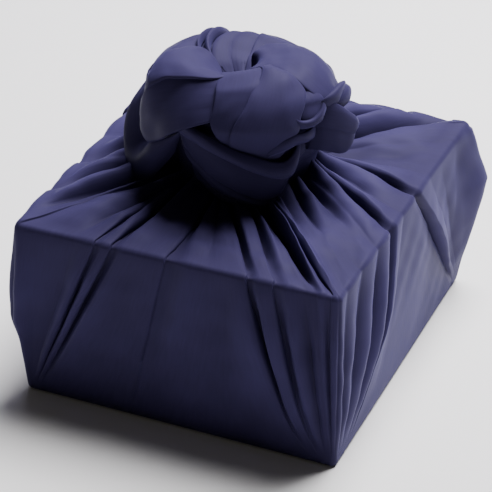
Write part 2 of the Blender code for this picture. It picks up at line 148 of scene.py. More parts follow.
FRONT_FOLDS = (
    Fold(-114, -113, 1.00, -134, 0.5, 1.5, 0.5, 1.5, 2.0),
    Fold(-113, -90, 1.00, -130, 0.0, 1.0, 0.5, 4.5, 5.0),
    Fold(-112, -72, 1.00, -126, 0.0, 0.5, 0.5, 1.0, 0.0),
    Fold(-111, -63, 1.00, -124, 1.0, 2.0, 1.5, 2.5, 2.0),
    Fold(-110, -58, 1.00, -122.5, -0.5, -1.8, -0.8, 0.0, -2.0, 0.8),
    Fold(-109, -52, 1.00, -121, 1.2, 2.2, 1.6, 2.5, 2.5),
    Fold(-107, -46, 1.00, -119, -0.5, -2.2, -1.8, -4.0, -6.0, 1.4),
    Fold(-104, -38, 1.00, -112, 1.0, 1.5, 1.5, 2.5, 4.0),
    Fold(-70, -22, 1.00, -102, 0.0, 0.0, 0.8, 1.0, 2.0),
    Fold(-34, -6, 1.00, -89, 0.0, -0.8, -2.0, -1.0, -2.5, 0.5),
    Fold(-14, 10, 1.00, -86, 0.0, 0.3, 1.0, 1.5, 3.0),
    Fold(-5, 24, 1.00, -84, 0.0, 0.0, 0.0, 0.5, 0.5),
    Fold(40, 38, 1.00, -82, 0.0, 0.0, 0.5, 1.5, 2.0),
    Fold(96, 46, 0.65, -80.5, 0.5, 1.5, 1.0, 1.0, 1.0),
    Fold(106, 52, 0.55, -79, -0.8, -2.8, -2.2, -2.5, -2.5, 1.0),
    Fold(109, 60, 0.55, -73, 1.2, 2.0, 1.6, 2.0, 2.5),
    Fold(110, 71, 0.60, -64, 0.0, -0.8, -0.8, -1.5, -1.5, 0.8),
    Fold(111, 80, 0.70, -59, 1.5, 2.0, 1.5, 2.0, 1.5),
    Fold(112, 92, 0.75, -55, -0.5, -1.5, -1.0, 0.5, -2.5),
    Fold(113, 100, 0.80, -51.5, 0.5, 0.5, -1.0, -4.5, -7.0),
    Fold(114, 104, 0.85, -49, 0.5, 1.0, 1.5, 4.0, 5.0),
    Fold(114.7, 108, 0.90, -47.5, -0.5, -1.0, -0.5, 1.0, -1.0),
    Fold(115.4, 111.5, 0.95, -46, 0.0, 0.0, -1.0, -4.0, -5.0, -2.0),
    Fold(116, 115, 1.00, -44, 0.5, 1.0, 0.5, 3.5, 4.5),
)
RIGHT_FOLDS = (
    Fold(-127, -126, 1.00, -36, 0.5, 0.5, 0.5, 4.0, 2.5),
    Fold(-126, -117, 0.90, -26, 0.0, -0.5, -0.5, 3.0, 3.5),
    Fold(-125, -106, 0.80, -18, 1.0, 1.0, 1.0, 2.5, -1.0),
    Fold(-124, -90, 0.70, -10, 0.0, -1.0, -1.0, 2.5, 3.5),
    Fold(-123, -74, 0.60, -3, 1.5, 2.0, 1.5, 2.0, -1.5),
    Fold(-122, -60, 0.55, 3, 0.0, -0.5, -0.5, 3.0, 3.5),
    Fold(-121, -47, 0.50, 9, 1.5, 3.0, 2.0, 5.5, 6.5),
    Fold(-120, -38, 0.50, 13.5, -1.0, -3.8, -4.0, -6.5, -8.0, 1.8),
    Fold(-117, -27, 0.60, 19, 1.2, 2.6, 2.0, 4.0, 6.0),
    Fold(-62, -12, 1.00, 28, 0.0, 0.5, 0.5, 2.0, 2.0),
    Fold(62, 5, 1.00, 38, 0.0, 0.5, 1.5, 4.0, 5.0),
    Fold(118, 14, 1.00, 43, -1.0, -3.5, -3.0, -5.5, -7.0, 2.0),
    Fold(120, 24, 1.00, 44, 1.5, 3.0, 2.0, 3.5, 5.0),
    Fold(122, 46, 1.00, 45, 0.5, 1.5, 0.5, 1.0, 0.5),
    Fold(123, 70, 1.00, 46.5, 0.5, 0.5, 0.5, 0.0, -2.0),
    Fold(124, 98, 1.00, 48, 1.0, 2.0, 1.0, 2.0, -1.0),
    Fold(126, 119, 1.00, 50, 1.0, 2.5, 3.0, 5.0, 0.5),
)
BACK_FOLDS = (
    Fold(-114, -106, 1.00, 54.5, 1.5, 2.0, 2.0, -6.5, -8.0, 0.8),
    Fold(-112, -94, 1.00, 58, 1.0, 1.0, 3.0, -2.5, -4.0),
    Fold(-110, -76, 1.00, 62, 0.5, 1.5, 5.0, 8.0, 6.5),
    Fold(-106, -62, 1.00, 67, -0.5, -2.0, 1.5, -1.5, -4.5, -1.2),
    Fold(-100, -50, 0.90, 71, 0.5, 1.5, 5.0, 7.0, 6.0),
    Fold(-78, -34, 1.00, 78, 0.0, -1.0, 1.5, 3.0, -0.4),
    Fold(-50, -20, 1.00, 84, 0.0, 0.5, 4.0, 7.0, 5.6),
    Fold(10, 2, 1.00, 92, 0.0, 0.0, 3.0, 4.0, 0.6),
    Fold(96, 20, 0.70, 100, 1.0, 2.0, 4.5, 7.0, 6.6),
    Fold(106, 30, 0.65, 105, -1.0, -3.5, 0.5, 2.0, -1.5, 2.0),
    Fold(108, 38, 0.65, 110, 1.5, 2.5, 5.0, 7.5, 5.6),
    Fold(110, 60, 0.80, 117, 0.0, 0.5, 3.5, 4.0, 1.6),
    Fold(111, 76, 0.85, 123, -0.5, -2.0, 1.5, 3.0, -1.0, 2.0),
    Fold(112, 86, 0.90, 127, 1.5, 2.5, 5.0, 7.5, 6.6),
    Fold(113, 103, 1.00, 132, 0.0, 1.0, 3.5, 4.0, 0.6),
    Fold(114, 113, 1.00, 136, 0.5, 1.0, 3.5, 6.0, 5.2),
)
LEFT_FOLDS = (
    Fold(-127, -126, 1.00, 141, 0.5, 5.0, 8.0, 8.6, 5.5),
    Fold(-124, -110, 1.00, 145, 0.0, 5.2, 9.5, 9.8, 3.0),
    Fold(-122, -92, 1.00, 149, 1.0, 6.2, 11.5, 13.3, 8.5),
    Fold(-120, -80, 1.00, 153, -1.0, 1.8, 9.0, 8.3, 1.5, 2.0),
    Fold(-108, -66, 1.00, 158, 0.5, 5.0, 12.0, 14.1, 9.0),
    Fold(-72, -44, 1.00, 163, 0.0, 2.8, 8.0, 6.9, 1.8, 1.5),
    Fold(-42, -25, 1.00, 169, 0.0, 3.5, 9.5, 10.8, 8.0),
    Fold(-10, -4, 1.00, 175, 0.0, 2.0, 5.5, 5.4, 0.5),
    Fold(36, 20, 1.00, 181, 0.0, 2.5, 7.0, 8.5, 6.5),
    Fold(96, 42, 0.80, 187, -0.5, 0.0, 3.0, 2.0, -1.0, -2.0),
    Fold(112, 54, 0.80, 191, 1.5, 4.5, 6.5, 8.0, 6.5),
    Fold(118, 68, 0.85, 196, 0.5, 3.0, 4.5, 7.0, 6.0),
    Fold(121, 84, 0.90, 202, -0.5, 0.5, 3.0, 1.0, -2.5, -2.5),
    Fold(123, 97, 1.00, 209, 1.0, 4.5, 5.5, 8.0, 7.5),
    Fold(125, 110, 1.00, 217, 0.5, 3.0, 4.0, -1.0, -2.0),
    Fold(127, 123, 1.00, 222, 0.5, 3.5, 3.0, 1.5, 3.0),
)
CORNERS = (
    Corner(-137, 7.0, 62, 34, 2.0, 1.0, 2.0),
    Corner(-40, 1.0, 60, 20, 4.5, 5.0),
    Corner(52, 22.0, 88, 30, 4.5, -1.0, 5.0),
    Corner(138, 9.0, 75, 34, 6.0, 5.0, 6.0),
)

# The knot's bands. Each row is a Station: turn, reach and rise of one edge, of the other, and the bulge.
BANDS = {
    "bowl": (
        (-126, 48, 58, -128, 36, 18, 1),
        (-110, 57, 60, -111, 43, 13, 4),
        (-94, 62, 57, -92, 48, 9, 8),
        (-79, 64, 52, -77, 55, 7, 10),
        (-66, 64, 45, -64, 60, 6, 10),
        (-55, 64, 39, -53, 62, 6, 10),
        (-44, 63, 35, -43, 59, 8, 8),
        (-34, 60, 37, -32, 52, 13, 5),
        (-24, 55, 44, -22, 46, 22, 2),
    ),
    "lip": (
        (-114, 62, 76, -117, 61, 62, 1),
        (-101, 68, 72, -101, 68, 60, 4),
        (-92, 71, 69, -91, 71, 58, 5),
        (-82, 72, 64, -80, 73, 53, 5),
        (-71, 72, 57, -69, 73, 47, 5),
        (-60, 72, 51, -58, 73, 40, 5),
        (-50, 72, 45, -48, 72, 34, 5),
        (-42, 71, 43, -39, 70, 32, 5),
        (-36, 69, 47, -33, 66, 38, 4),
        (-30, 64, 54, -28, 60, 46, 2),
    ),
    "back_collar": (
        (-24, 54, 40, -24, 45, 8, 3),
        (15, 58, 42, 15, 48, 4, 4),
        (50, 60, 40, 50, 49, 2, 4),
        (90, 59, 44, 92, 48, 4, 5),
        (130, 60, 40, 128, 48, 2, 4),
        (170, 57, 44, 172, 47, 6, 4),
        (215, 52, 46, 215, 43, 12, 3),
    ),
    "back_wrap": (
        (-16, 58, 82, -14, 58, 40, 1),
        (10, 60, 81, 12, 62, 38, 3),
        (48, 63, 73, 46, 66, 34, 4),
        (82, 67, 68, 82, 68, 34, 4),
        (116, 70, 67, 117, 69, 34, 4),
        (150, 71, 68, 148, 68, 38, 4),
        (182, 68, 68, 180, 64, 40, 3),
        (206, 60, 66, 204, 58, 42, 2),
    ),
    "back_band": (
        (186, 12, 70, 94, 11, 73, 1),
        (198, 21, 79, 97, 21, 77, 1),
        (203, 31, 86, 97, 31, 78, 3),
        (204, 40, 90, 97, 40, 80, 5),
        (202, 48, 89, 96, 48, 82, 5),
        (200, 56, 83, 96, 56, 79, 5),
        (198, 62, 77, 96, 62, 75, 4),
        (197, 66, 63, 96, 66, 62, 1),
    ),
    "crescent": (
        (18, 8, 78, -62, 22, 80, 0),
        (24, 9, 91, -56, 28, 92, 1),
        (54, 17, 93, -42, 32, 94.5, 1),
        (50, 25, 94, -32, 38, 96, 1),
        (40, 34, 94, -30, 46, 97.5, 1.5),
        (29, 46, 92, -28, 57, 95.5, 2),
        (25, 56, 85, -26, 64, 91.5, 2),
        (22, 62, 77, -22, 70, 85.5, 2),
        (20, 66, 70, -17, 73, 79.5, 1),
        (18, 67, 62, -13, 74, 71, 0),
    ),
    "front_left": (
        (-143, 69, 64, -142, 69, 40, 1),
        (-137, 72, 70, -135, 72, 42, 2),
        (-130, 69, 83, -126, 72, 44, 2),
        (-121, 62, 91, -115, 73, 52, 2),
        (-109, 56, 95, -104, 75, 63, 2),
        (-94, 53, 96.5, -92, 75, 72, 2),
        (-76, 50, 96, -78, 72, 79, 1),
    ),
    "upper_left": (
        (-140, 61, 84, -134, 70, 76, 1),
        (-144, 57, 91, -129, 69, 84, 2),
        (-152, 53, 94, -124, 66, 89, 1),
        (-154, 48, 95.5, -119, 63, 93, 1),
        (-158, 41.5, 95.5, -112, 60, 95, 2),
        (-165, 36, 94.5, -103, 57, 97, 2),
        (-174, 29, 92, -94, 55, 98, 3),
        (-177, 24, 89, -86, 52, 98, 3),
        (-168, 17, 84, -78, 46, 97, 2),
        (-135, 12, 76, -70, 38, 92, 1),
    ),
    "left_loop": (
        (-166, 54, 84, -154, 51, 81, 1),
        (-162, 62, 74, -152, 57, 72, 2),
        (-160, 71, 63, -150, 64, 64, 2),
        (-158, 77, 53, -149, 67, 54, 3),
        (-156, 81, 40, -147, 68, 42, 3),
        (-153, 82, 25, -144, 69, 33, 4),
        (-148, 81, 12, -136, 70, 34, 5),
        (-141, 76, 5, -128, 70, 42, 6),
        (-134, 70, 8, -119, 68, 47, 5),
        (-127, 63, 20, -111, 66, 53, 3),
        (-120, 56, 34, -104, 64, 60, 1),
    ),
    "inner_turn": (
        (-128, 58, 80, -128, 57, 50, 0),
        (-108, 62, 82, -108, 63, 55, 0),
        (-84, 63, 80, -84, 65, 52, 0),
        (-60, 63, 72, -60, 65, 42, 0),
        (-40, 63, 66, -40, 64, 34, 0),
        (-22, 62, 66, -22, 62, 40, 0),
    ),
    "tuck_face": (
        (-20, 62, 92, -27, 62, 90, 0),
        (-18, 72, 84, -30, 71, 85, 1),
        (-18, 74, 79, -33, 73, 81, 1),
        (-20, 76, 73, -34, 75, 76, 2),
        (-22, 77, 69, -33, 76, 71, 1),
        (-25, 74, 65, -31, 74, 66, 0),
    ),
    "tuck_rim": (
        (-40, 73, 81, -42, 73, 77, 0),
        (-38, 76, 77, -39, 75, 72, 1),
        (-34, 77, 74, -35, 76, 68, 1),
        (-29, 78, 74, -29, 77, 67, 1),
        (-24, 78, 77, -23, 77, 69, 1),
        (-20, 76, 81, -18, 75, 73, 0),
    ),
    "tuck_strip": (
        (-14, 62, 60, -13, 61, 50, 0),
        (-22, 70, 63, -21, 69, 53, 0),
        (-30, 76, 64, -29, 74, 55, 1),
        (-38, 77, 65, -36, 75, 56, 2),
        (-45, 76, 61, -43, 74, 53, 1),
        (-52, 70, 53, -51, 69, 48, 0),
    ),
    "right_tab": (
        (-18, 70, 81, -23, 66, 44, 0),
        (-15, 74, 79, -19, 72, 44, 1),
        (-9, 78, 74, -13, 77, 41, 3),
        (-4, 82, 67, -8, 80, 38, 3),
        (0, 85, 61, -4, 82, 38, 2),
        (3, 85, 55, 0, 82, 44, 0),
    ),
    "ruffle_left": (
        (-22, 73, 80, -8, 75, 70, 0),
        (-18, 75, 83, -5, 76, 75, 2),
        (-12, 75, 85, -1, 75, 78, 3),
        (-5, 74, 86, 4, 74, 80, 3),
        (2, 72, 84, 8, 72, 80, 1),
    ),
    "ruffle_right": (
        (-13, 74, 71, 0, 76, 67, 0),
        (-10, 76, 76, 3, 78, 69, 2),
        (-6, 76, 80, 7, 77.5, 72, 3),
        (-1, 75, 82, 10, 76, 75, 2),
        (4, 72, 81, 12, 73, 76, 0),
    ),
    "pad_left": (
        (-110, 14, 76, -40, 16, 74, 0),
        (-90, 30, 91, -36, 30, 94, 1),
        (-84, 44, 97, -38, 44, 100.5, 1),
        (-82, 59, 95, -46, 58, 96.5, 1),
        (-81, 65, 91, -52, 65, 91, 1),
        (-81, 71, 84, -57, 71, 84, 1),
        (-82, 74, 77, -60, 74, 77, 1),
        (-80, 75, 69, -63, 75, 69, 1),
        (-76, 70, 58, -64, 70, 58, 1),
        (-75, 64, 46, -66, 64, 44, 0),
    ),
    "pad_right": (
        (-66, 15, 75, -22, 17, 73, 0),
        (-50, 29, 92, -28, 31, 91, 1),
        (-47, 43, 100, -31, 48, 98, 2),
        (-53, 54, 98, -29, 59, 96, 2),
        (-60, 64, 93, -28, 67, 90, 2),
        (-64, 71, 86, -32, 73, 84, 2),
        (-68, 75, 79, -36, 76, 76, 2),
        (-71, 77, 71, -37, 76, 67, 2),
        (-72, 73, 61, -41, 71, 55, 1),
        (-72, 66, 50, -44, 65, 43, 1),
        (-72, 63, 38, -46, 62, 32, 0),
    ),
}
# The folds of cloth in each band, from the hidden to the shown. A band that isn't named here has one.
BAND_LAYERS = {
    "bowl": (Layer(far=(0.35, 0.62, 0.86), lift=0.8, puff=2.0),
             Layer((0.25, 0.56, 0.80), (0.40, 0.66, 0.88), 1.9, 1.6),
             Layer(near=(0.2, 0.45, 0.65), far=(0.7, 0.90, 0.96), lift=-1.4, puff=2.0),
             Layer((0.62, 0.84, 0.90), (1.0, 1.0, 1.0), -0.6, 2.4)),
    "lip": (Layer(lift=1.2, puff=1.6),),
    "back_collar": (Layer(far=(0.3, 0.26, 0.3), lift=1.5, puff=1.5),
                    Layer(near=(0.15, 0.15, 0.15), puff=1.0)),
    "back_wrap": (Layer(far=(0.5, 0.6, 0.4), lift=1.5, puff=1.2), Layer(near=(0.35, 0.45, 0.25), puff=1.0)),
    "back_band": (Layer((-0.6, 0.0, 0.0), (-0.46, 0.49, 0.62), 0.0, 0.6),
                  Layer((-0.50, 0.47, 0.60), (-0.40, 0.54, 0.66), 1.6, 2.4),
                  Layer((-0.28, 0.53, 0.63), (-0.20, 0.57, 0.68), -2.6, 0.2),
                  Layer((-0.14, 0.56, 0.66), (-0.02, 0.635, 0.73), 1.9, 2.6),
                  Layer((-0.02, 0.61, 0.71), (0.10, 0.70, 0.80), -2.4, 0.2),
                  Layer((0.03, 0.67, 0.78), (0.62, 0.84, 0.89), 0.3, 1.6),
                  Layer(near=(0.52, 0.80, 0.87), lift=1.0, puff=1.2),
                  Layer((0.99, 0.99, 0.99), (1.5, 1.5, 1.4), 3.2, 0.8)),
    "upper_left": (Layer(lift=0.8, puff=1.0),),
    "front_left": (Layer(puff=0.5),),
    "tuck_rim": (Layer(puff=1.8),),
    "tuck_strip": (Layer(puff=1.2),),
    "crescent": (Layer(lift=1.2, puff=1.0),),
    "right_tab": (Layer(far=(0.55, 0.5, 0.5), lift=0.6, puff=1.2), Layer(near=(0.45, 0.4, 0.4), puff=1.0)),
    "ruffle_left": (Layer(puff=1.6),),
    "ruffle_right": (Layer(puff=1.6),),
    "left_loop": (Layer(puff=0.6),),
    "pad_left": (Layer(puff=0.2),),
    "pad_right": (Layer(lift=1.0, puff=0.4),),
}


def smooth(share: Array) -> Array:
    """Shares of a way that start and end gently."""
    return share * share * (3 - 2 * share)


def ramp(values: Array, start: float, length: float) -> Array:
    """Shares of the way from start over the length, held at 0 before it and at 1 after it."""
    return np.clip((values - start) / length, 0, 1)


def unit(vectors: Array) -> Array:
    """The vectors at length one."""
    return vectors / np.maximum(np.linalg.norm(vectors, axis=-1, keepdims=True), SHORTEST)


def distances(points: Array) -> Array:
    """Distances along a row of points from its first one."""
    return np.concatenate(((0.0,), np.cumsum(np.linalg.norm(np.diff(points, axis=0), axis=1))))


def weave_of(over: Array, down: Array) -> Array:
    """Weave coordinates of a grid, from the places of its columns and of its rows."""
    return np.stack(np.broadcast_arrays(over[None, :], down[:, None]), -1).reshape(-1, 2)


def from_hub(angle: Array, reach: Array | float) -> Array:
    """Plan points about the knot's axis, with angles in radians."""
    return HUB + reach * np.stack((np.cos(angle), np.sin(angle)), -1)


def ring(plan: Array, rise: Array | float) -> Array:
    """One ring of points, from plan points and their rise."""
    return np.concatenate((plan, np.broadcast_to(rise, len(plan))[:, None]), 1)


def placed(name: str, data: bpy.types.ID) -> bpy.types.Object:
    """Puts a new object with this data into the scene.

    Args:
        name: The object's name.
        data: Its mesh, light or camera.

    Returns:
        The object.
    """
    thing = bpy.data.objects.new(name, data)
    bpy.context.scene.collection.objects.link(thing)
    return thing


def feed(tree: bpy.types.NodeTree, node: bpy.types.Node, values: dict[str | int, object]) -> bpy.types.Node:
    """Sets the inputs of a shader node.

    Args:
        tree: The nodes that it belongs to.
        node: The node.
        values: A value or another node's output for each input.

    Returns:
        The node.
    """
    for name, value in values.items():
        if isinstance(value, bpy.types.NodeSocket):
            tree.links.new(value, node.inputs[name])
        else:
            node.inputs[name].default_value = value
    return node


def eased(knots: tuple[float, ...], values: Array, at: Array) -> Array:
    """Reads smooth curves through rows of values.

    Args:
        knots: Places of the values, rising.
        values: One row of values for each knot.
        at: Places to read.

    Returns:
        One row for each place.
    """
    marks = np.array(knots)
    slopes = np.gradient(values, marks, axis=0)
    index = np.clip(np.searchsorted(marks, at, side="right") - 1, 0, len(marks) - 2)
    span = (marks[index + 1] - marks[index])[:, None]
    t = ((at - marks[index])[:, None]) / span
    a, b = values[index], values[index + 1]
    da, db = slopes[index] * span, slopes[index + 1] * span
    return ((2 * t**3 - 3 * t**2 + 1) * a + (t**3 - 2 * t**2 + t) * da
            + (3 * t**2 - 2 * t**3) * b + (t**3 - t**2) * db)


def grid_faces(rows: int, columns: int, closed: bool) -> Array:
    """Faces of a grid of points.

    Args:
        rows: Rows of points.
        columns: Points in a row.
        closed: Whether each row closes on itself.

    Returns:
        Four point numbers for each face.
    """
    last = columns if closed else columns - 1
    row, column = np.meshgrid(np.arange(rows - 1), np.arange(last), indexing="ij")
    following = (column + 1) % columns
    a, b = row * columns + column, row * columns + following
    return np.stack((a, b, b + columns, a + columns), -1).reshape(-1, 4)


def unevenness(points: Array, finest: float, widest: float, size: float, seed: int) -> Array:
    """Soft random heights, as cloth has between its folds.

    Args:
        points: Places in mm.
        finest: Shortest wave in mm.
        widest: Longest wave in mm.
        size: Usual height in mm.
        seed: Seed of the waves.

    Returns:
        One height for each place.
    """
    rng = np.random.default_rng(seed)
    found = np.zeros(points.shape[:-1])
    for wave in np.geomspace(finest, widest, WAVES):
        heading = rng.normal(size=3)
        heading *= 2 * np.pi / (wave * np.linalg.norm(heading))
        found += np.sin(points @ heading + rng.uniform(0, 2 * np.pi)) * (wave / widest) ** WAVES_POWER
    return found * size / WAVES_HEIGHT


@dataclass
class Flanks:
    """The columns between the fold lines, and the lines that each one lies between.

    A tucked line has a lip that lies over its neighbour, and cloth that turns back under the lip.
    """

    line: Array
    share: Array
    after: Array
    tuck: Array
    sharp: Array
    lip_size: float = 0.75
    lip_most: float = 0.5
    under_size: float = 1.1
    under_most: float = 0.7
    turn: float = 0.6
    steepness: float = 1.9
    waits_until: float = 0.3
    rises_over: float = 0.7
    lip_fall: float = 0.28
    lip_curve: float = 2.2

    def path(self, gap: Array, low: Array, high: Array, strength: Array) -> tuple[Array, Array]:
        """Runs each column along its flank, over and under the pleats.

        Args:
            gap: Distance from each line to the next in mm, one row for each level.
            low: Height of the line before each column.
            high: Height of the line after each column.
            strength: How far the pleats are open at each level.

        Returns:
            Each column's way past its line in mm, and its height.
        """
        line, after, share, turn = self.line, self.after, self.share, self.turn
        size, forwards = np.abs(self.tuck)[None, :], self.tuck > 0
        before = np.roll(gap, 1, axis=1)
        lip_room, under_room = np.where(forwards, gap, before), np.where(forwards, before, gap)
        lip = np.minimum(self.lip_size * size, self.lip_most * lip_room) * strength[:, None]
        under = np.minimum(self.under_size * size, self.under_most * under_room) * strength[:, None]
        start, end = self.tuck[line], self.tuck[after]
        end_over, start_over = end > 0, start < 0
        forward = np.where(end_over, np.minimum(share / turn, 1.0),
                           np.where(start_over, np.maximum((share - 1 + turn) / turn, 0.0), share))
        back = np.where(end_over, np.clip((share - turn) / (1 - turn), 0, 1),
                        np.where(start_over, np.clip((1 - turn - share) / (1 - turn), 0, 1), 0.0))
        end_lip, end_fold = lip[:, after], lip[:, after] + under[:, after]
        start_lip, start_fold = lip[:, line], lip[:, line] + under[:, line]
        way = gap[:, line] * forward
        way = way + np.where(end_over, end_lip * forward - end_fold * back, 0.0)
        way = way + np.where(start_over, start_fold * back - start_lip * (1 - forward), 0.0)
        way = way - np.where(start > 0, under[:, line] * (1 - forward), 0.0)
        way = way + np.where(end < 0, under[:, after] * forward, 0.0)
        down, up = forward**self.steepness, 1.0 - (1.0 - forward) ** self.steepness
        mix = np.where(self.sharp[after] & ~self.sharp[line], down,
                       np.where(self.sharp[line] & ~self.sharp[after], up, smooth(forward)))
        mix = np.where(start > 0, smooth(ramp(forward, self.waits_until, self.rises_over)), mix)
        mix = np.where(end < 0, smooth(ramp(forward, 0.0, self.rises_over)), mix)
        height = low + (high - low) * mix
        lip_down = low + (high - low) * self.lip_fall * forward**self.lip_curve
        over_end = lip_down + (high - lip_down) * np.sqrt(back)
        lip_up = high + (low - high) * self.lip_fall * (1 - forward) ** self.lip_curve
        over_start = lip_up + (low - lip_up) * np.sqrt(back)
        return way, np.where(end_over, over_end, np.where(start_over, over_start, height))


@dataclass
class BundleDrape:
    """The cloth over the box: underside, four sides and the top, with its folds drawn in to the neck.

    Sizes are in mm. Levels are shares of the height, and steps of the way from the top's edge to the neck.
    """

    width: float = 235.0
    depth: float = 262.0
    height: float = BASE
    corner_round: float = 4.0
    edge_round: float = 3.5
    foot_round: float = 4.0
    side_bulge: float = 2.0
    bulge_reach: float = 1.2
    fold_strength: float = 1.35
    brink_strength: float = 0.75
    side_relief: float = 1.4
    top_relief: float = 1.25
    valley_depth: float = 0.5
    side_levels: tuple[float, ...] = (0.0, 0.05, 0.27, 0.62, 1.0)
    top_steps: tuple[float, ...] = (0.0, 0.36, 0.82, 1.0)
    top_crowding: float = 0.9
    neck_lift: float = 1.0
    beat: float = 0.25
    beat_paces: tuple[float, float] = (0.5, 1.3)
    wander: float = 0.22
    wander_power: float = 1.3
    wander_back: float = 0.6
    side_tuck: float = 0.5
    side_opens: tuple[float, float] = (0.1, 0.25)
    side_closes: tuple[float, float] = (0.9, 0.1)
    side_closed: float = 0.75
    top_tuck: float = 0.4
    top_open_from: float = 0.25
    top_opens_over: float = 0.15
    top_blends_over: float = 0.12
    top_lift: float = 2.5
    top_lifts_over: float = 0.6
    top_rough_over: float = 0.2
    narrowest: float = 0.8
    fin_powers: Triple = (1.4, 1.15, 0.9)
    side_waves: Triple = (16.0, 95.0, 0.7)
    top_waves: Triple = (12.0, 70.0, 0.7)
    foot_shares: tuple[float, ...] = (0.0, 0.4, 0.8)
    foot_turns: tuple[float, ...] = (0.0, 22.0, 45.0, 68.0)
    edge_turns: tuple[float, float, int] = (18.0, 90.0, 5)
    neck_steps: tuple[tuple[float, float], ...] = ((0.93, 5.0), (0.88, 14.0), (0.85, 26.0))
    fold_gap: float = 0.8
    neck_reach: float = 46.0
    neck_rise: float = 3.0
    neck_power: float = 3.0
    shown_pitch: float = 1.7
    hidden_pitch: float = 3.0
    flank_columns: tuple[int, int] = (5, 14)
    tucked_columns: tuple[int, int] = (13, 11)
    side_rows: int = 36
    top_rows: int = 32
    # Painted shade and sheen: how strongly the top's fold heights colour the cloth, and the dark value
    # painted on the neck as painted shade.
    top_shade_sheen_and_wear: float = 0.7
    neck_shade: float = -2.0
    seed: int = 11

    @property
    def girth(self) -> float:
        """Length round the box."""
        return 2 * (self.width + self.depth)

    @property
    def corner_places(self) -> tuple[float, float, float, float]:
        """Perimeter places of the corners, from the front left one."""
        return 0.0, self.width, self.width + self.depth, 2 * self.width + self.depth

    def lines(self) -> tuple[Array, Array, Array]:
        """Collects all fold lines in order.

        Returns:
            The folds' values, the perimeter place of each side's middle, and which lines are corners.
        """
        rows, centre, corner_flags = [], [], []
        for side, folds in zip(Side, (FRONT_FOLDS, RIGHT_FOLDS, BACK_FOLDS, LEFT_FOLDS)):
            corner, place = CORNERS[side.value], self.corner_places[side.value]
            half = (self.width, self.depth)[side.value % 2] / 2
            start = Fold(-half, -half, 1.0, corner.turn, 0.0, 0.0, corner.brink, corner.brow, corner.gather)
            rows += [astuple(fold) for fold in (start, *folds)]
            centre += [place + half] * (len(folds) + 1)
            corner_flags += [True] + [False] * len(folds)
        return np.array(rows), np.array(centre), np.array(corner_flags)

    def places(self, rows: Array, centre: Array, corner: Array, levels: Array) -> Array:
        """Perimeter place of every line at every level, kept in order and apart.

        Args:
            rows: The folds' values.
            centre: The perimeter place of each line's side.
            corner: Which lines are corners.
            levels: Shares of the height.

        Returns:
            One row of places for each level.
        """
        root, edge, curve = rows[:, 0], rows[:, 1], rows[:, 2]
        place = centre + root + (edge - root) * levels[:, None] ** curve
        place = np.concatenate((place, np.full((len(levels), 1), self.girth)), 1)
        starts = np.append(np.flatnonzero(corner), len(corner))
        for start, stop in zip(starts[:-1], starts[1:]):
            for k in range(start + 1, stop):
                place[:, k] = np.maximum(place[:, k], place[:, k - 1] + self.fold_gap)
            for k in reversed(range(start + 1, stop)):
                place[:, k] = np.minimum(place[:, k], place[:, k + 1] - self.fold_gap)
        return place[:, :-1]

    def outline(self, place: Array) -> tuple[Array, Array]:
        """Plan points and outward directions of the rounded rectangle.

        Args:
            place: Perimeter places, in mm from the front left corner.

        Returns:
            Plan points and outward directions.
        """
        half_w, half_d, turn_r = self.width / 2, self.depth / 2, self.corner_round
        lengths = np.array((self.width, self.depth, self.width, self.depth))
        ends = np.cumsum(lengths)
        place = np.mod(place, ends[-1])
        side = np.minimum(np.searchsorted(ends, place, side="right"), 3)
        along = place - (ends[side] - lengths[side])
        starts = np.array(((-half_w, -half_d), (half_w, -half_d), (half_w, half_d), (-half_w, half_d)))
        heading = np.array(((1.0, 0.0), (0.0, 1.0), (-1.0, 0.0), (0.0, -1.0)))
        ahead = heading[side]
        out = np.stack((ahead[..., 1], -ahead[..., 0]), -1)
        before = np.clip(1.0 - along / turn_r, 0.0, 1.0)
        after = np.clip(1.0 - (lengths[side] - along) / turn_r, 0.0, 1.0)
        angle = (after - before) * (math.pi / 4)
        centre_along = np.clip(along, turn_r, lengths[side] - turn_r)
        centre = starts[side] + ahead * centre_along[..., None] - out * turn_r
        normal = out * np.cos(angle)[..., None] + ahead * np.sin(angle)[..., None]
        return centre + normal * turn_r, normal

    def fins(self, place: Array, heights: Array) -> Array:
        """How the corners' loose cloth stands out.

        Args:
            place: Perimeter places, one row for each height.
            heights: Heights over the foot in mm.

        Returns:
            Plan offsets.
        """
        around, rise, fall = self.fin_powers
        offset = np.zeros(place.shape + (2,))
        diagonals = ((-1, -1), (1, -1), (1, 1), (-1, 1))
        for corner, spot, diagonal in zip(CORNERS, self.corner_places, diagonals):
            gap = np.abs((place - spot + self.girth / 2) % self.girth - self.girth / 2)
            near = np.clip(1.0 - gap / corner.width, 0.0, 1.0) ** around
            below = ramp(heights, 0.0, corner.height) ** rise
            above = ramp(self.height - heights, 0.0, self.height - corner.height) ** fall
            size = corner.puff * np.where(heights < corner.height, below, above)
            offset += (near * size[:, None])[..., None] * np.array(diagonal) / math.sqrt(2.0)
        return offset

    def flanks(self, place: Array, tuck: Array, sharp: Array) -> Flanks:
        """Chooses the columns between the fold lines, fewer on the sides that don't show.

        Args:
            place: The lines' places at the top edge.
            tuck: How far each line is tucked under its neighbour.
            sharp: Which lines are valleys.

        Returns:
            The columns.
        """
        gaps = np.diff(np.append(place, place[0] + self.girth))
        line, share = [], []
        for k, gap in enumerate(gaps):
            shown = place[k] < self.width + self.depth
            pitch = self.shown_pitch if shown else self.hidden_pitch
            steps = int(np.clip(round(gap / pitch), *self.flank_columns))
            if tuck[(k + 1) % len(tuck)] > 0 or tuck[k] < 0:
                steps = max(steps, self.tucked_columns[0 if shown else 1])
            line += [k] * steps
            share += [step / steps for step in range(steps)]
        line = np.array(line)
        return Flanks(line, np.array(share), (line + 1) % len(tuck), tuck, sharp)

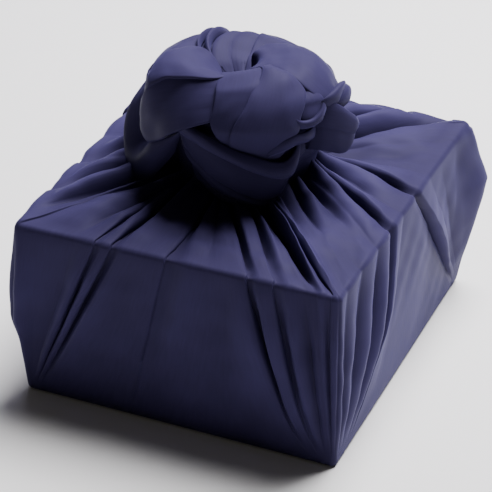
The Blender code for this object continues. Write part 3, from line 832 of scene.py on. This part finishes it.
    def relief(self, heights: Array, share: float) -> Array:
        """Lifts ridges and deepens valleys against the lines beside them."""
        beside = 0.5 * (np.roll(heights, 1, axis=-1) + np.roll(heights, -1, axis=-1))
        return heights + (share - 1.0) * (heights - beside)

    def valleys(self, first: Array, second: Array) -> Array:
        """Which lines lie lower than both their neighbours' mean."""
        both = first + second
        return both < 0.5 * (np.roll(both, 1) + np.roll(both, -1)) - self.valley_depth

    def build(self) -> Patch:
        """Makes the cloth over the box.

        Returns:
            The drape as one patch, open at the neck.
        """
        rows, centre, corner = self.lines()
        levels = np.linspace(0.0, 1.0, self.side_rows)
        lines_at = self.places(rows, centre, corner, levels)
        low, mid, brink, brow, gather = (rows[:, k] for k in range(4, 9))
        strength, edge = self.fold_strength, brink * self.brink_strength
        mid, low = self.relief(mid, self.side_relief), self.relief(low, self.side_relief)
        brow, gather = self.relief(brow, self.top_relief), self.relief(gather, self.top_relief)
        knots = np.stack((0 * low, 0 * low, low * strength, mid * strength, edge))
        side_lines = eased(self.side_levels, knots, levels)
        steps = np.linspace(0.0, 1.0, self.top_rows) ** self.top_crowding
        knots = np.stack((edge, brow * strength, gather * strength, gather * strength + self.neck_lift))
        top_lines = eased(self.top_steps, knots, steps)
        rng = np.random.default_rng(self.seed + 7)
        phase, pace = rng.uniform(0, 2 * np.pi, len(rows)), rng.uniform(*self.beat_paces, len(rows))
        top_lines = top_lines * (1 + self.beat * np.sin(2 * np.pi * pace * steps[:, None] + phase))
        flanks = self.flanks(lines_at[-1], rows[:, 9], self.valleys(mid, brink))
        line, after = flanks.line, flanks.after
        gap = np.diff(np.concatenate((lines_at, lines_at[:, :1] + self.girth), 1), axis=1)
        opened = ramp(levels, *self.side_opens) * (1 - self.side_closed * ramp(levels, *self.side_closes))
        way, stand = flanks.path(gap, side_lines[:, line], side_lines[:, after], opened * self.side_tuck)
        place = lines_at[:, line] + way
        heights = self.foot_round + levels * (self.height - self.foot_round - self.edge_round)
        plan, out = self.outline(place)
        middle = np.abs(np.mod(place, self.girth) - centre[line]) / (self.girth / 8)
        swell = np.sin(np.pi * levels)[:, None]
        bulge = self.side_bulge * swell * np.clip(self.bulge_reach - middle, 0, 1)
        spots = np.concatenate((plan, np.broadcast_to(heights[:, None, None], plan.shape[:2] + (1,))), -1)
        stand = stand + bulge + unevenness(spots, *self.side_waves, self.seed) * swell**0.5
        side_plan = plan + out * stand[..., None] + self.fins(place, heights)
        side = np.concatenate((side_plan, spots[..., 2:]), -1)
        foot = self.foot_rows(side_plan[0], out[0])
        brow_rows = self.edge_rows(plan[-1], out[-1], stand[-1])
        flanks = replace(flanks, sharp=self.valleys(brow, gather))
        top, top_stand = self.top_of(flanks, lines_at[-1], rows[:, 3], top_lines, place[-1], stand[-1], steps)
        neck = self.neck_rows(top[-1])
        grid = np.concatenate((foot, side, brow_rows, top, neck))
        # Painted shade and sheen: fold heights become colour, darker in the valleys and lighter on the
        # crests; the underside stays even and the neck is painted dark.
        shade_sheen_and_wear = np.concatenate((np.zeros(foot.shape[:2]), stand, np.repeat(stand[-1:], len(brow_rows), 0),
                                top_stand * self.top_shade_sheen_and_wear, np.full(neck.shape[:2], self.neck_shade)))
        return self.patch(grid, shade_sheen_and_wear)

    def foot_rows(self, plan: Array, out: Array) -> Array:
        """Rings of the flat underside and the rounded bottom edge, inside the sides' lowest ring."""
        turns, radius = map(math.radians, self.foot_turns), self.foot_round
        return np.array([ring(plan * share, 0.0) for share in self.foot_shares]
                        + [ring(plan - out * (radius * (1 - math.sin(turn))), radius * (1 - math.cos(turn)))
                           for turn in turns])

    def edge_rows(self, plan: Array, out: Array, stand: Array) -> Array:
        """Rings over the rounded top edge, where the cloth stands out this far."""
        radius, turns = self.edge_round, np.radians(np.linspace(*self.edge_turns))
        return np.array([ring(plan + out * ((radius + stand) * math.cos(turn) - radius)[:, None],
                              self.height - radius + (radius + stand) * math.sin(turn)) for turn in turns])

    def neck_rows(self, last: Array) -> Array:
        """Rings of the cloth that goes up inside the knot, from the last ring of the top."""
        return np.array([ring(HUB + (last[:, :2] - HUB) * share, last[:, 2] + rise)
                         for share, rise in self.neck_steps])

    def top_of(self, flanks: Flanks, at_edge: Array, turns: Array, lines: Array, last_place: Array,
               last_stand: Array, steps: Array) -> tuple[Array, Array]:
        """The top, from its edge to the neck.

        Args:
            flanks: The columns between the lines.
            at_edge: The lines' places at the top edge.
            turns: Neck directions of the lines in degrees.
            lines: Heights of the lines, one row for each step.
            last_place: The columns' places on the edge.
            last_stand: The columns' heights on the edge.
            steps: Shares of the way to the neck.

        Returns:
            Rings from the edge to the neck, and the fold heights of their points.
        """
        line, after = flanks.line, flanks.after
        start = np.radians(turns)
        ahead = np.mod(np.roll(start, -1) - start + np.pi, 2 * np.pi) - np.pi
        edge_plan, edge_out = self.outline(at_edge)
        edge_plan = edge_plan - edge_out * self.edge_round
        spots = edge_plan + (from_hub(start, self.neck_reach) - edge_plan) * steps[:, None, None]
        gap = np.maximum(np.linalg.norm(np.roll(spots, -1, axis=1) - spots, axis=2), self.narrowest)
        rng = np.random.default_rng(self.seed + 3)
        sway = rng.uniform(-1, 1, len(turns)) * np.sin(np.pi * steps)[:, None] ** self.wander_power
        back = rng.uniform(-self.wander_back, self.wander_back, len(turns))
        sway = self.wander * (sway + back * np.sin(2 * np.pi * steps)[:, None])
        opened = self.top_open_from + (1 - self.top_open_from) * ramp(steps, 0.0, self.top_opens_over)
        way, stand = flanks.path(gap, lines[:, line], lines[:, after], opened * self.top_tuck)
        share = way / gap[:, line]
        share = share + sway[:, line] * (1 - flanks.share) + sway[:, after] * flanks.share
        spread = np.diff(np.append(at_edge, at_edge[0] + self.girth))
        place = at_edge[line] + spread[line] * share
        blend = ramp(steps, 0.0, self.top_blends_over)[:, None]
        place = last_place * (1 - blend) + place * blend
        stand = last_stand * (1 - blend) + stand * blend
        plan, out = self.outline(place)
        plan = plan - out * self.edge_round
        angle = start[line] + ahead[line] * share
        spot = plan + (from_hub(angle, self.neck_reach) - plan) * steps[:, None, None]
        rise = self.height + stand + self.neck_rise * steps[:, None] ** self.neck_power
        rise = rise + self.top_lift * np.sin(np.pi / 2 * ramp(steps, 0.0, self.top_lifts_over))[:, None]
        whole = np.concatenate((spot, rise[..., None]), -1)
        rough = unevenness(whole, *self.top_waves, self.seed + 1)
        rough *= ramp(steps, 0.0, self.top_rough_over)[:, None]
        whole[..., 2] += rough
        return whole[1:], (stand + rough)[1:]

    def patch(self, grid: Array, shade_sheen_and_wear: Array) -> Patch:
        """Turns rings into a patch with weave coordinates.

        Args:
            grid: Rings of points in mm.
            shade_sheen_and_wear: Fold heights.

        Returns:
            The patch.
        """
        rows, columns = grid.shape[:2]
        step = np.linalg.norm(np.diff(grid, axis=0), axis=2).mean(axis=1)
        weave = weave_of(distances(grid[rows // 2]), np.concatenate(((0.0,), np.cumsum(step))))
        return Patch(grid.reshape(-1, 3), grid_faces(rows, columns, True), weave, shade_sheen_and_wear.reshape(-1))


@dataclass
class NeckGather:
    """The gathered cloth that rises through the neck into the knot, seen only in the gaps between the bands.

    The profile holds reach and rise from the middle of the knot, over and down to the neck, in mm.
    """

    pleats: int = 56
    pleat_depth: float = 15.0
    pleat_share: float = 0.45
    pleat_edge: float = 0.8
    columns_each: int = 6
    rows: int = 20
    swirl: float = 0.5
    waver: float = 0.05
    waver_paces: tuple[int, int] = (5, 7)
    depth_change: float = 0.25
    depth_pace: int = 7
    depth_phase: float = 1.3
    weave_round: float = 120.0
    weave_down: float = 130.0
    # Painted shade: the gather is painted dark, darkest in the pleats' troughs.
    pleat_shade: float = -2.0
    profile: tuple[tuple[float, float], ...] = (
        (3.0, 60.0), (11.0, 62.0), (19.0, 70.0), (28.0, 77.0), (39.0, 79.0), (48.0, 75.0), (55.0, 67.0),
        (57.0, 56.0), (54.0, 44.0), (49.0, 31.0), (45.0, 17.0), (43.0, 5.0), (42.0, -2.0),
    )

    def build(self) -> Patch:
        """Makes the gathered cloth.

        Returns:
            The gather as one patch.
        """
        count, last = self.pleats * self.columns_each, len(self.profile) - 1
        angle = np.linspace(0, 2 * np.pi, count, endpoint=False)
        line = eased(tuple(range(last + 1)), np.array(self.profile), np.linspace(0, last, self.rows))
        reach, rise = line[:, :1], line[:, 1:2]
        along = np.linspace(0, 1, self.rows)[:, None]
        around, up = self.waver_paces
        turn = angle + self.swirl * along + self.waver * np.sin(around * angle + up * along)
        phase = np.mod(angle * self.pleats / (2 * np.pi), 1.0)
        fold = np.abs(2 * phase - 1) ** self.pleat_edge
        depth = np.minimum(self.pleat_depth, self.pleat_share * reach)
        change = np.sin(self.depth_pace * angle + self.depth_phase)
        depth = depth * (1 - self.depth_change + self.depth_change * change)
        reach = reach - depth * (1 - fold)
        rise = np.broadcast_to(BASE + rise, reach.shape)
        grid = np.concatenate((from_hub(turn, reach[..., None]), rise[..., None]), -1)
        shade_sheen_and_wear = np.broadcast_to(self.pleat_shade + fold, reach.shape).reshape(-1)
        weave = weave_of(angle * self.weave_round, along[:, 0] * self.weave_down)
        return Patch(grid.reshape(-1, 3), grid_faces(self.rows, count, True), weave, shade_sheen_and_wear)


@dataclass
class KnotBand:
    """A band of folded cloth in the knot: a front, two folded edges, a back, and the hem turned in.

    Inner and back steps say from which column of the front to which, and how many, the hem and the back run.
    """

    stations: tuple[Station, ...]
    layer: Layer = Layer()
    thick: float = 2.6
    fold_round: float = 0.56
    flatness: float = 0.5
    whole_bulge: float = 2.2
    own_bulge: float = 2.6
    trim: tuple[float, float] = (0.12, 0.88)
    pinch: float = 0.135
    pinch_pitch: float = 8.0
    pinch_fewest: float = 1.5
    pinch_waves: tuple[float, ...] = (0.6, 1.0, 1.7)
    pinch_lean: float = 1.5
    pinch_phase: float = 6.28
    pinch_fade: float = 0.02
    ripple: float = 0.45
    ripple_waves: tuple[float, float] = (10.0, 60.0)
    full_width: float = 25.0
    steps: int = 5
    front_steps: int = 20
    curl_steps: int = 5
    inner_steps: tuple[int, int, int] = (16, 2, 5)
    back_steps: tuple[int, int, int] = (17, 1, 6)
    seed: int = 1
    tube_reach: float = 38.0
    tube_rise: float = 58.0

    def around(self, turn: Array, reach: Array, rise: Array) -> Array:
        """Points about the knot's axis, from their turn in degrees, their reach and their rise."""
        return np.concatenate((from_hub(np.radians(turn), reach[..., None]), BASE + rise[..., None]), -1)

    def outward(self, spots: Array) -> Array:
        """Directions out of the ring that the bands are wound on."""
        ring = unit(spots[..., :2] - HUB) * self.tube_reach + HUB
        ring = np.concatenate((ring, np.full(ring.shape[:-1] + (1,), BASE + self.tube_rise)), -1)
        return unit(spots - ring)

    def rows(self) -> tuple[Array, Array, Array]:
        """Smooth rows between the stations.

        Returns:
            The stations' seven values for each row, and the layer's near and far shares across.
        """
        table = np.array([astuple(station) for station in self.stations], float)
        at = np.linspace(0, len(table) - 1, (len(table) - 1) * self.steps + 1)
        rows = eased(tuple(range(len(table))), table, at)
        along = np.linspace(0, 1, len(rows))
        shares = [start + (4 * middle - 3 * start - end) * along + 2 * (start + end - 2 * middle) * along**2
                  for start, middle, end in (self.layer.near, self.layer.far)]
        return rows, shares[0], shares[1]

    def front(self, rows: Array, first: Array, last: Array, share: Array) -> Array:
        """Points of the layer's front.

        Args:
            rows: The stations' seven values for each row.
            first: The layer's near shares.
            last: The layer's far shares.
            share: Shares of the way between them.

        Returns:
            The points.
        """
        across = first[:, None] + (last - first)[:, None] * share[None, :]
        near, far = rows[:, None, :3], rows[:, None, 3:6]
        spot = near + (far - near) * across[..., None]
        points = self.around(spot[..., 0], spot[..., 1], spot[..., 2])
        whole = 1 - np.abs(2 * across - 1) ** self.whole_bulge
        own = 1 - np.abs(2 * share[None, :] - 1) ** self.own_bulge
        bulge = rows[:, 6:7] * self.flatness * whole + (self.layer.puff * own) + self.layer.lift
        return points + self.outward(points) * bulge[..., None]

    def pinched(self, front: Array, out: Array, share: Array) -> Array:
        """Adds small pleats near the ends of the layer and a soft unevenness all over it.

        Args:
            front: Points of the front.
            out: Outward directions.
            share: Shares of the way across.

        Returns:
            The moved points.
        """
        width = np.linalg.norm(np.diff(front, axis=1), axis=2).sum(axis=1).mean()
        along = np.linspace(0, 1, len(front))[:, None]
        rng = np.random.default_rng(self.seed)
        count = max(self.pinch_fewest, float(width) / self.pinch_pitch)
        pleat = np.zeros(front.shape[:2])
        for wave in self.pinch_waves:
            lean = rng.uniform(-self.pinch_lean, self.pinch_lean)
            phase = rng.uniform(0, self.pinch_phase)
            pleat += np.sin(2 * np.pi * (count * wave * share[None, :] + lean * along) + phase)
        fade = np.sin(np.pi * np.clip(share, self.pinch_fade, 1 - self.pinch_fade))[None, :] ** 0.5
        size = min(1.0, float(width) / self.full_width)
        front = front + out * (pleat * (2 * along - 1) ** 2.0 * fade * self.pinch * size)[..., None]
        return front + out * unevenness(front, *self.ripple_waves, self.ripple * size, self.seed)[..., None]

    def curl(self, edge: Array, aside: Array, out: Array, radius: float) -> list[Array]:
        """Turns the cloth round behind an edge of the front.

        Args:
            edge: Points of the edge.
            aside: Directions away from the front.
            out: Outward directions.
            radius: Radius of the turn in mm.

        Returns:
            One column of points for each step of the turn.
        """
        return [edge + aside * math.sin(turn) * radius - out * radius * (1 - math.cos(turn))
                for turn in np.linspace(0.0, np.pi, self.curl_steps + 1)[1:]]

    def build(self) -> Patch:
        """Makes the layer.

        Returns:
            The layer as one patch, open at its ends and along its hem.
        """
        rows, first, last = self.rows()
        share = 0.5 - 0.5 * np.cos(np.linspace(*self.trim, self.front_steps) * np.pi)
        share = (share - share[0]) / (share[-1] - share[0])
        front = self.front(rows, first, last, share)
        out = self.outward(front)
        front = self.pinched(front, out, share)
        near_curl = self.curl(front[:, 0], unit(front[:, 0] - front[:, 1]), out[:, 0], self.fold_round)
        far_curl = self.curl(front[:, -1], unit(front[:, -1] - front[:, -2]), out[:, -1], self.thick / 2)
        inner, behind = ([front[:, k] - out[:, k] * depth for k in np.linspace(*picked).astype(int)]
                         for depth, picked in ((2 * self.fold_round, self.inner_steps),
                                               (self.thick, self.back_steps)))
        lead = np.stack(inner + near_curl[::-1], 1)
        grid = np.concatenate((lead, front, np.stack(far_curl + behind, 1)), 1)
        count, columns = grid.shape[:2]
        weave = weave_of(distances(grid[count // 2]), distances(front[:, self.front_steps // 2]))
        # Painted shade: the turned-under hem, the curled edges and the back of each band are painted darker
        # than its front.
        shade_sheen_and_wear = np.full((count, columns), -1.0)
        shade_sheen_and_wear[:, lead.shape[1]:lead.shape[1] + self.front_steps] = 1.0
        return Patch(grid.reshape(-1, 3), grid_faces(count, columns, False), weave, shade_sheen_and_wear.reshape(-1))


@dataclass
class CrownKnot:
    """The woven crown: bands wound over and under round a hollow middle, with a collar and loose folds."""

    gather: NeckGather = field(default_factory=NeckGather)
    seed: int = 5

    def build(self) -> list[Patch]:
        """Makes the gather and all layers of the knot's bands.

        Returns:
            One patch for the gather and one for each layer.
        """
        patches = [self.gather.build()]
        for name, rows in BANDS.items():
            stations = tuple(Station(*row) for row in rows)
            for number, layer in enumerate(BAND_LAYERS.get(name, (Layer(),))):
                patches.append(KnotBand(stations, layer, seed=self.seed + len(patches)).build())
                log.info("band %s, layer %d", name, number + 1)
        return patches


@dataclass(frozen=True)
class NavyCloth:
    """Plain-woven navy cloth with a soft satin sheen. Its colour is painted from the folds' heights: a little
    lighter on the crests (painted sheen with a little wear), darker in the valleys, at the neck and on
    turned-under cloth (painted shade).
    """

    # Ends of the colour ramp: fold heights push the colour towards deep in the valleys (painted shade) and
    # towards light on the crests (painted sheen with a little wear), with random cloud and slub tone over it.
    deep: Colour = (0.0150, 0.0124, 0.029, 1.0)
    light: Colour = (0.040, 0.034, 0.094, 1.0)
    deep_at: float = 0.1
    rough: float = 0.48
    rough_less: float = 0.06
    rough_more: float = 0.08
    sheen: float = 0.10
    sheen_rough: float = 0.45
    sheen_tint: Colour = (0.34, 0.32, 1.0, 1.0)
    gloss: float = 0.04
    gloss_tint: Colour = (0.62, 0.60, 1.0, 1.0)
    thread_mm: float = 0.45
    thread_wander: float = 0.6
    thread_detail: float = 1.0
    thread_bump: float = 0.25
    thread_depth: float = 0.0001
    slub_scale: Triple = (900.0, 60.0, 1.0)
    slub_detail: float = 3.0
    slub_share: float = 0.35
    cloud_scale: float = 14.0
    cloud_detail: float = 4.0
    cloud_share: float = 0.6
    crumple_scale: float = 90.0
    crumple_detail: float = 3.0
    crumple_bump: float = 0.09
    crumple_depth: float = 0.0008

    def add(self, tree: bpy.types.NodeTree, kind: str, values: dict[str | int, object],
            **options: str) -> bpy.types.Node:
        """Adds a shader node.

        Args:
            tree: The material's nodes.
            kind: The node's type, without the ShaderNode before it.
            values: A value or another node's output for each input.
            **options: Other settings of the node.

        Returns:
            The node.
        """
        node = tree.nodes.new(f"ShaderNode{kind}")
        for option, choice in options.items():
            setattr(node, option, choice)
        return feed(tree, node, values)

    def build(self) -> bpy.types.Material:
        """Makes the material.

        Returns:
            The node-based material.
        """
        finish = bpy.data.materials.new("navy_cloth")
        finish.use_nodes = True
        tree = finish.node_tree
        weave = self.add(tree, "UVMap", {}, uv_map="weave").outputs["UV"]
        place = self.add(tree, "TexCoord", {}).outputs["Object"]
        # The fold-height attribute from the mesh, which paints shade into the valleys and sheen onto the
        # crests.
        shade_sheen_and_wear = self.add(tree, "Attribute", {}, attribute_name="shade_sheen_and_wear").outputs["Fac"]
        pace = WAVE_TEXTURE_PITCH / (self.thread_mm * MM) / 2
        wave = {"Vector": weave, "Scale": pace,
                "Distortion": self.thread_wander, "Detail": self.thread_detail}
        across, down = (self.add(tree, "TexWave", wave, wave_type="BANDS", bands_direction=way).outputs["Fac"]
                        for way in "XY")
        threads = self.add(tree, "Math", {0: across, 1: down}, operation="MULTIPLY").outputs["Value"]
        stretch = self.add(tree, "Mapping", {"Vector": weave, "Scale": self.slub_scale}).outputs["Vector"]
        slub, cloud, crumple = (
            self.add(tree, "TexNoise", {"Vector": spot, "Scale": scale, "Detail": detail}).outputs["Fac"]
            for spot, scale, detail in ((stretch, 1.0, self.slub_detail),
                                        (place, self.cloud_scale, self.cloud_detail),
                                        (place, self.crumple_scale, self.crumple_detail)))
        # Random cloud and slub tone added to the fold heights; the ramp then paints shade and sheen from
        # them.
        clouded = self.add(tree, "Math", {0: cloud, 1: self.cloud_share, 2: shade_sheen_and_wear}, operation="MULTIPLY_ADD")
        mixed = self.add(tree, "Math", {0: slub, 1: self.slub_share, 2: clouded.outputs["Value"]},
                         operation="MULTIPLY_ADD")
        shade = self.add(tree, "ValToRGB", {"Fac": mixed.outputs["Value"]})
        dark, bright = shade.color_ramp.elements
        dark.position, dark.color = self.deep_at, self.deep
        bright.position, bright.color = 1.0, self.light
        rough = self.add(tree, "MapRange", {"Value": slub, "To Min": self.rough - self.rough_less,
                                            "To Max": self.rough + self.rough_more})
        soft = self.add(tree, "Bump", {"Height": crumple, "Strength": self.crumple_bump,
                                       "Distance": self.crumple_depth})
        fine = self.add(tree, "Bump", {"Height": threads, "Strength": self.thread_bump,
                                       "Distance": self.thread_depth, "Normal": soft.outputs["Normal"]})
        feed(tree, tree.nodes["Principled BSDF"], {
            "Base Color": shade.outputs["Color"], "Roughness": rough.outputs["Result"],
            "Normal": fine.outputs["Normal"], "Sheen Weight": self.sheen, "Sheen Roughness": self.sheen_rough,
            "Sheen Tint": self.sheen_tint, "Specular IOR Level": self.gloss, "Specular Tint": self.gloss_tint,
        })
        return finish


@dataclass
class WrappedCloth:
    """The whole wrap: one square cloth of 90 cm round the bundle and up into its knot."""

    cut: float = 0.90
    node: str = "wrap_cloth"
    drape: BundleDrape = field(default_factory=BundleDrape)
    knot: CrownKnot = field(default_factory=CrownKnot)
    finish: NavyCloth = field(default_factory=NavyCloth)
    # Scale, base and range that turn fold heights into painted colour: painted shade in the valleys, painted
    # sheen with a little wear on the crests.
    shade_sheen_and_wear_scale: float = 0.08
    shade_sheen_and_wear_base: float = 0.1
    shade_sheen_and_wear_range: tuple[float, float] = (-0.2, 0.6)

    def build(self) -> bpy.types.Object:
        """Makes and dresses the sheet.

        Returns:
            The sheet object.
        """
        sheet = self.join([self.drape.build()] + self.knot.build())
        sheet.data.materials.append(self.finish.build())
        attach(sheet, "root")
        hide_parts(self.node)
        return sheet

    def join(self, patches: list[Patch]) -> bpy.types.Object:
        """Puts the patches into one mesh.

        Args:
            patches: The drape, the gather and the bands.

        Returns:
            The mesh object, in metres.
        """
        starts = np.cumsum([0] + [len(patch.points) for patch in patches])
        points = np.concatenate([patch.points * MM for patch in patches])
        quads = np.concatenate([patch.faces + start for patch, start in zip(patches, starts)])
        weave = np.concatenate([patch.weave * MM for patch in patches])
        # Fold heights scaled into the colour attribute that paints shade into the valleys and sheen, with a
        # little wear, onto the crests.
        shade_sheen_and_wear = np.concatenate([patch.shade_sheen_and_wear for patch in patches]) * self.shade_sheen_and_wear_scale + self.shade_sheen_and_wear_base
        mesh = bpy.data.meshes.new("wrap_sheet")
        mesh.from_pydata(points.tolist(), [], quads.tolist())
        mesh.validate()
        layer = mesh.uv_layers.new(name="weave")
        corners = np.empty(len(mesh.loops), dtype=np.int32)
        mesh.loops.foreach_get("vertex_index", corners)
        layer.data.foreach_set("uv", weave[corners].astype(np.float32).reshape(-1))
        height = mesh.attributes.new("shade_sheen_and_wear", "FLOAT", "POINT")
        height.data.foreach_set("value", np.clip(shade_sheen_and_wear, *self.shade_sheen_and_wear_range).astype(np.float32))
        mesh.shade_smooth()
        return placed("wrap_sheet", mesh)


@dataclass(frozen=True)
class SoftLight:
    """A square soft light aimed at the bundle: place and side in metres, power in watts."""

    name: str
    place: Triple
    size: float
    power: float
    tint: Triple
    aim: Triple = (0.0, 0.0, 0.12)

    def build(self) -> bpy.types.Object:
        """Adds the light.

        Returns:
            The light object.
        """
        data = bpy.data.lights.new(self.name, "AREA")
        data.shape = "SQUARE"
        data.size, data.energy, data.color = self.size, self.power, self.tint
        lamp = placed(self.name, data)
        lamp.location = self.place
        lamp.rotation_euler = (Vector(self.aim) - Vector(self.place)).to_track_quat("-Z", "Y").to_euler()
        return lamp


@dataclass
class Studio:
    """Pale floor, soft lights and the camera."""

    floor_size: float = 6.0
    floor_colour: Colour = (0.88, 0.88, 0.88, 1.0)
    floor_rough: float = 0.9
    air_colour: Colour = (1.0, 0.93, 0.82, 1.0)
    air_strength: float = 0.05
    azimuth: float = 23.5
    elevation: float = 30.92
    distance: float = 1.4138
    aside: float = -0.0041
    above: float = 0.0636
    farthest: float = 20.0
    focal_px: float = 1900.0
    image_px: float = 492.0
    sensor_mm: float = 36.0
    lights: tuple[SoftLight, ...] = (
        SoftLight("key_light", (0.30, 0.80, 1.78), 1.1, 120.0, (1.0, 0.98, 1.0)),
        SoftLight("back_light", (-0.45, 1.40, 0.95), 1.1, 7.0, (0.78, 0.76, 1.0)),
    )

    def axes(self) -> tuple[Vector, Vector, Vector]:
        """Right, up and backward directions of the camera."""
        turn, tilt = math.radians(self.azimuth), math.radians(self.elevation)
        back = Vector((math.sin(turn) * math.cos(tilt), -math.cos(turn) * math.cos(tilt), math.sin(tilt)))
        right = Vector((math.cos(turn), math.sin(turn), 0.0))
        return right, back.cross(right), back

    def camera(self) -> bpy.types.Object:
        """Places the camera.

        Returns:
            The camera object.
        """
        right, upward, back = self.axes()
        data = bpy.data.cameras.new("studio_camera")
        data.sensor_width = self.sensor_mm
        data.lens = self.focal_px / self.image_px * self.sensor_mm
        data.clip_end = self.farthest
        camera = placed("studio_camera", data)
        camera.location = back * self.distance + right * self.aside + upward * self.above
        camera.rotation_euler = Matrix((right, upward, back)).transposed().to_euler()
        bpy.context.scene.camera = camera
        return camera

    def floor(self) -> bpy.types.Object:
        """Lays the floor.

        Returns:
            The floor object.
        """
        half = self.floor_size / 2
        corners = [(-half, -half, 0), (half, -half, 0), (half, half, 0), (-half, half, 0)]
        mesh = bpy.data.meshes.new("studio_floor")
        mesh.from_pydata(corners, [], [(0, 1, 2, 3)])
        floor = placed("studio_floor", mesh)
        paint = bpy.data.materials.new("studio_floor")
        paint.use_nodes = True
        tree = paint.node_tree
        looks = {"Base Color": self.floor_colour, "Roughness": self.floor_rough}
        feed(tree, tree.nodes["Principled BSDF"], looks)
        mesh.materials.append(paint)
        return floor

    def build(self) -> None:
        """Sets up the floor, the lights, the surroundings and the camera."""
        self.floor()
        for light in self.lights:
            light.build()
        world = bpy.data.worlds.new("studio_air")
        bpy.context.scene.world = world
        world.use_nodes = True
        tree = world.node_tree
        feed(tree, tree.nodes["Background"], {"Color": self.air_colour, "Strength": self.air_strength})
        self.camera()


def main() -> None:
    """Builds the wrap and its studio and reports each piece."""
    logging.basicConfig(level=logging.INFO, format="%(message)s")
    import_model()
    sheet = WrappedCloth().build()
    log.info("sheet with %d faces", len(sheet.data.polygons))
    Studio().build()
    log.info("studio ready")


if __name__ == "__main__":
    main()
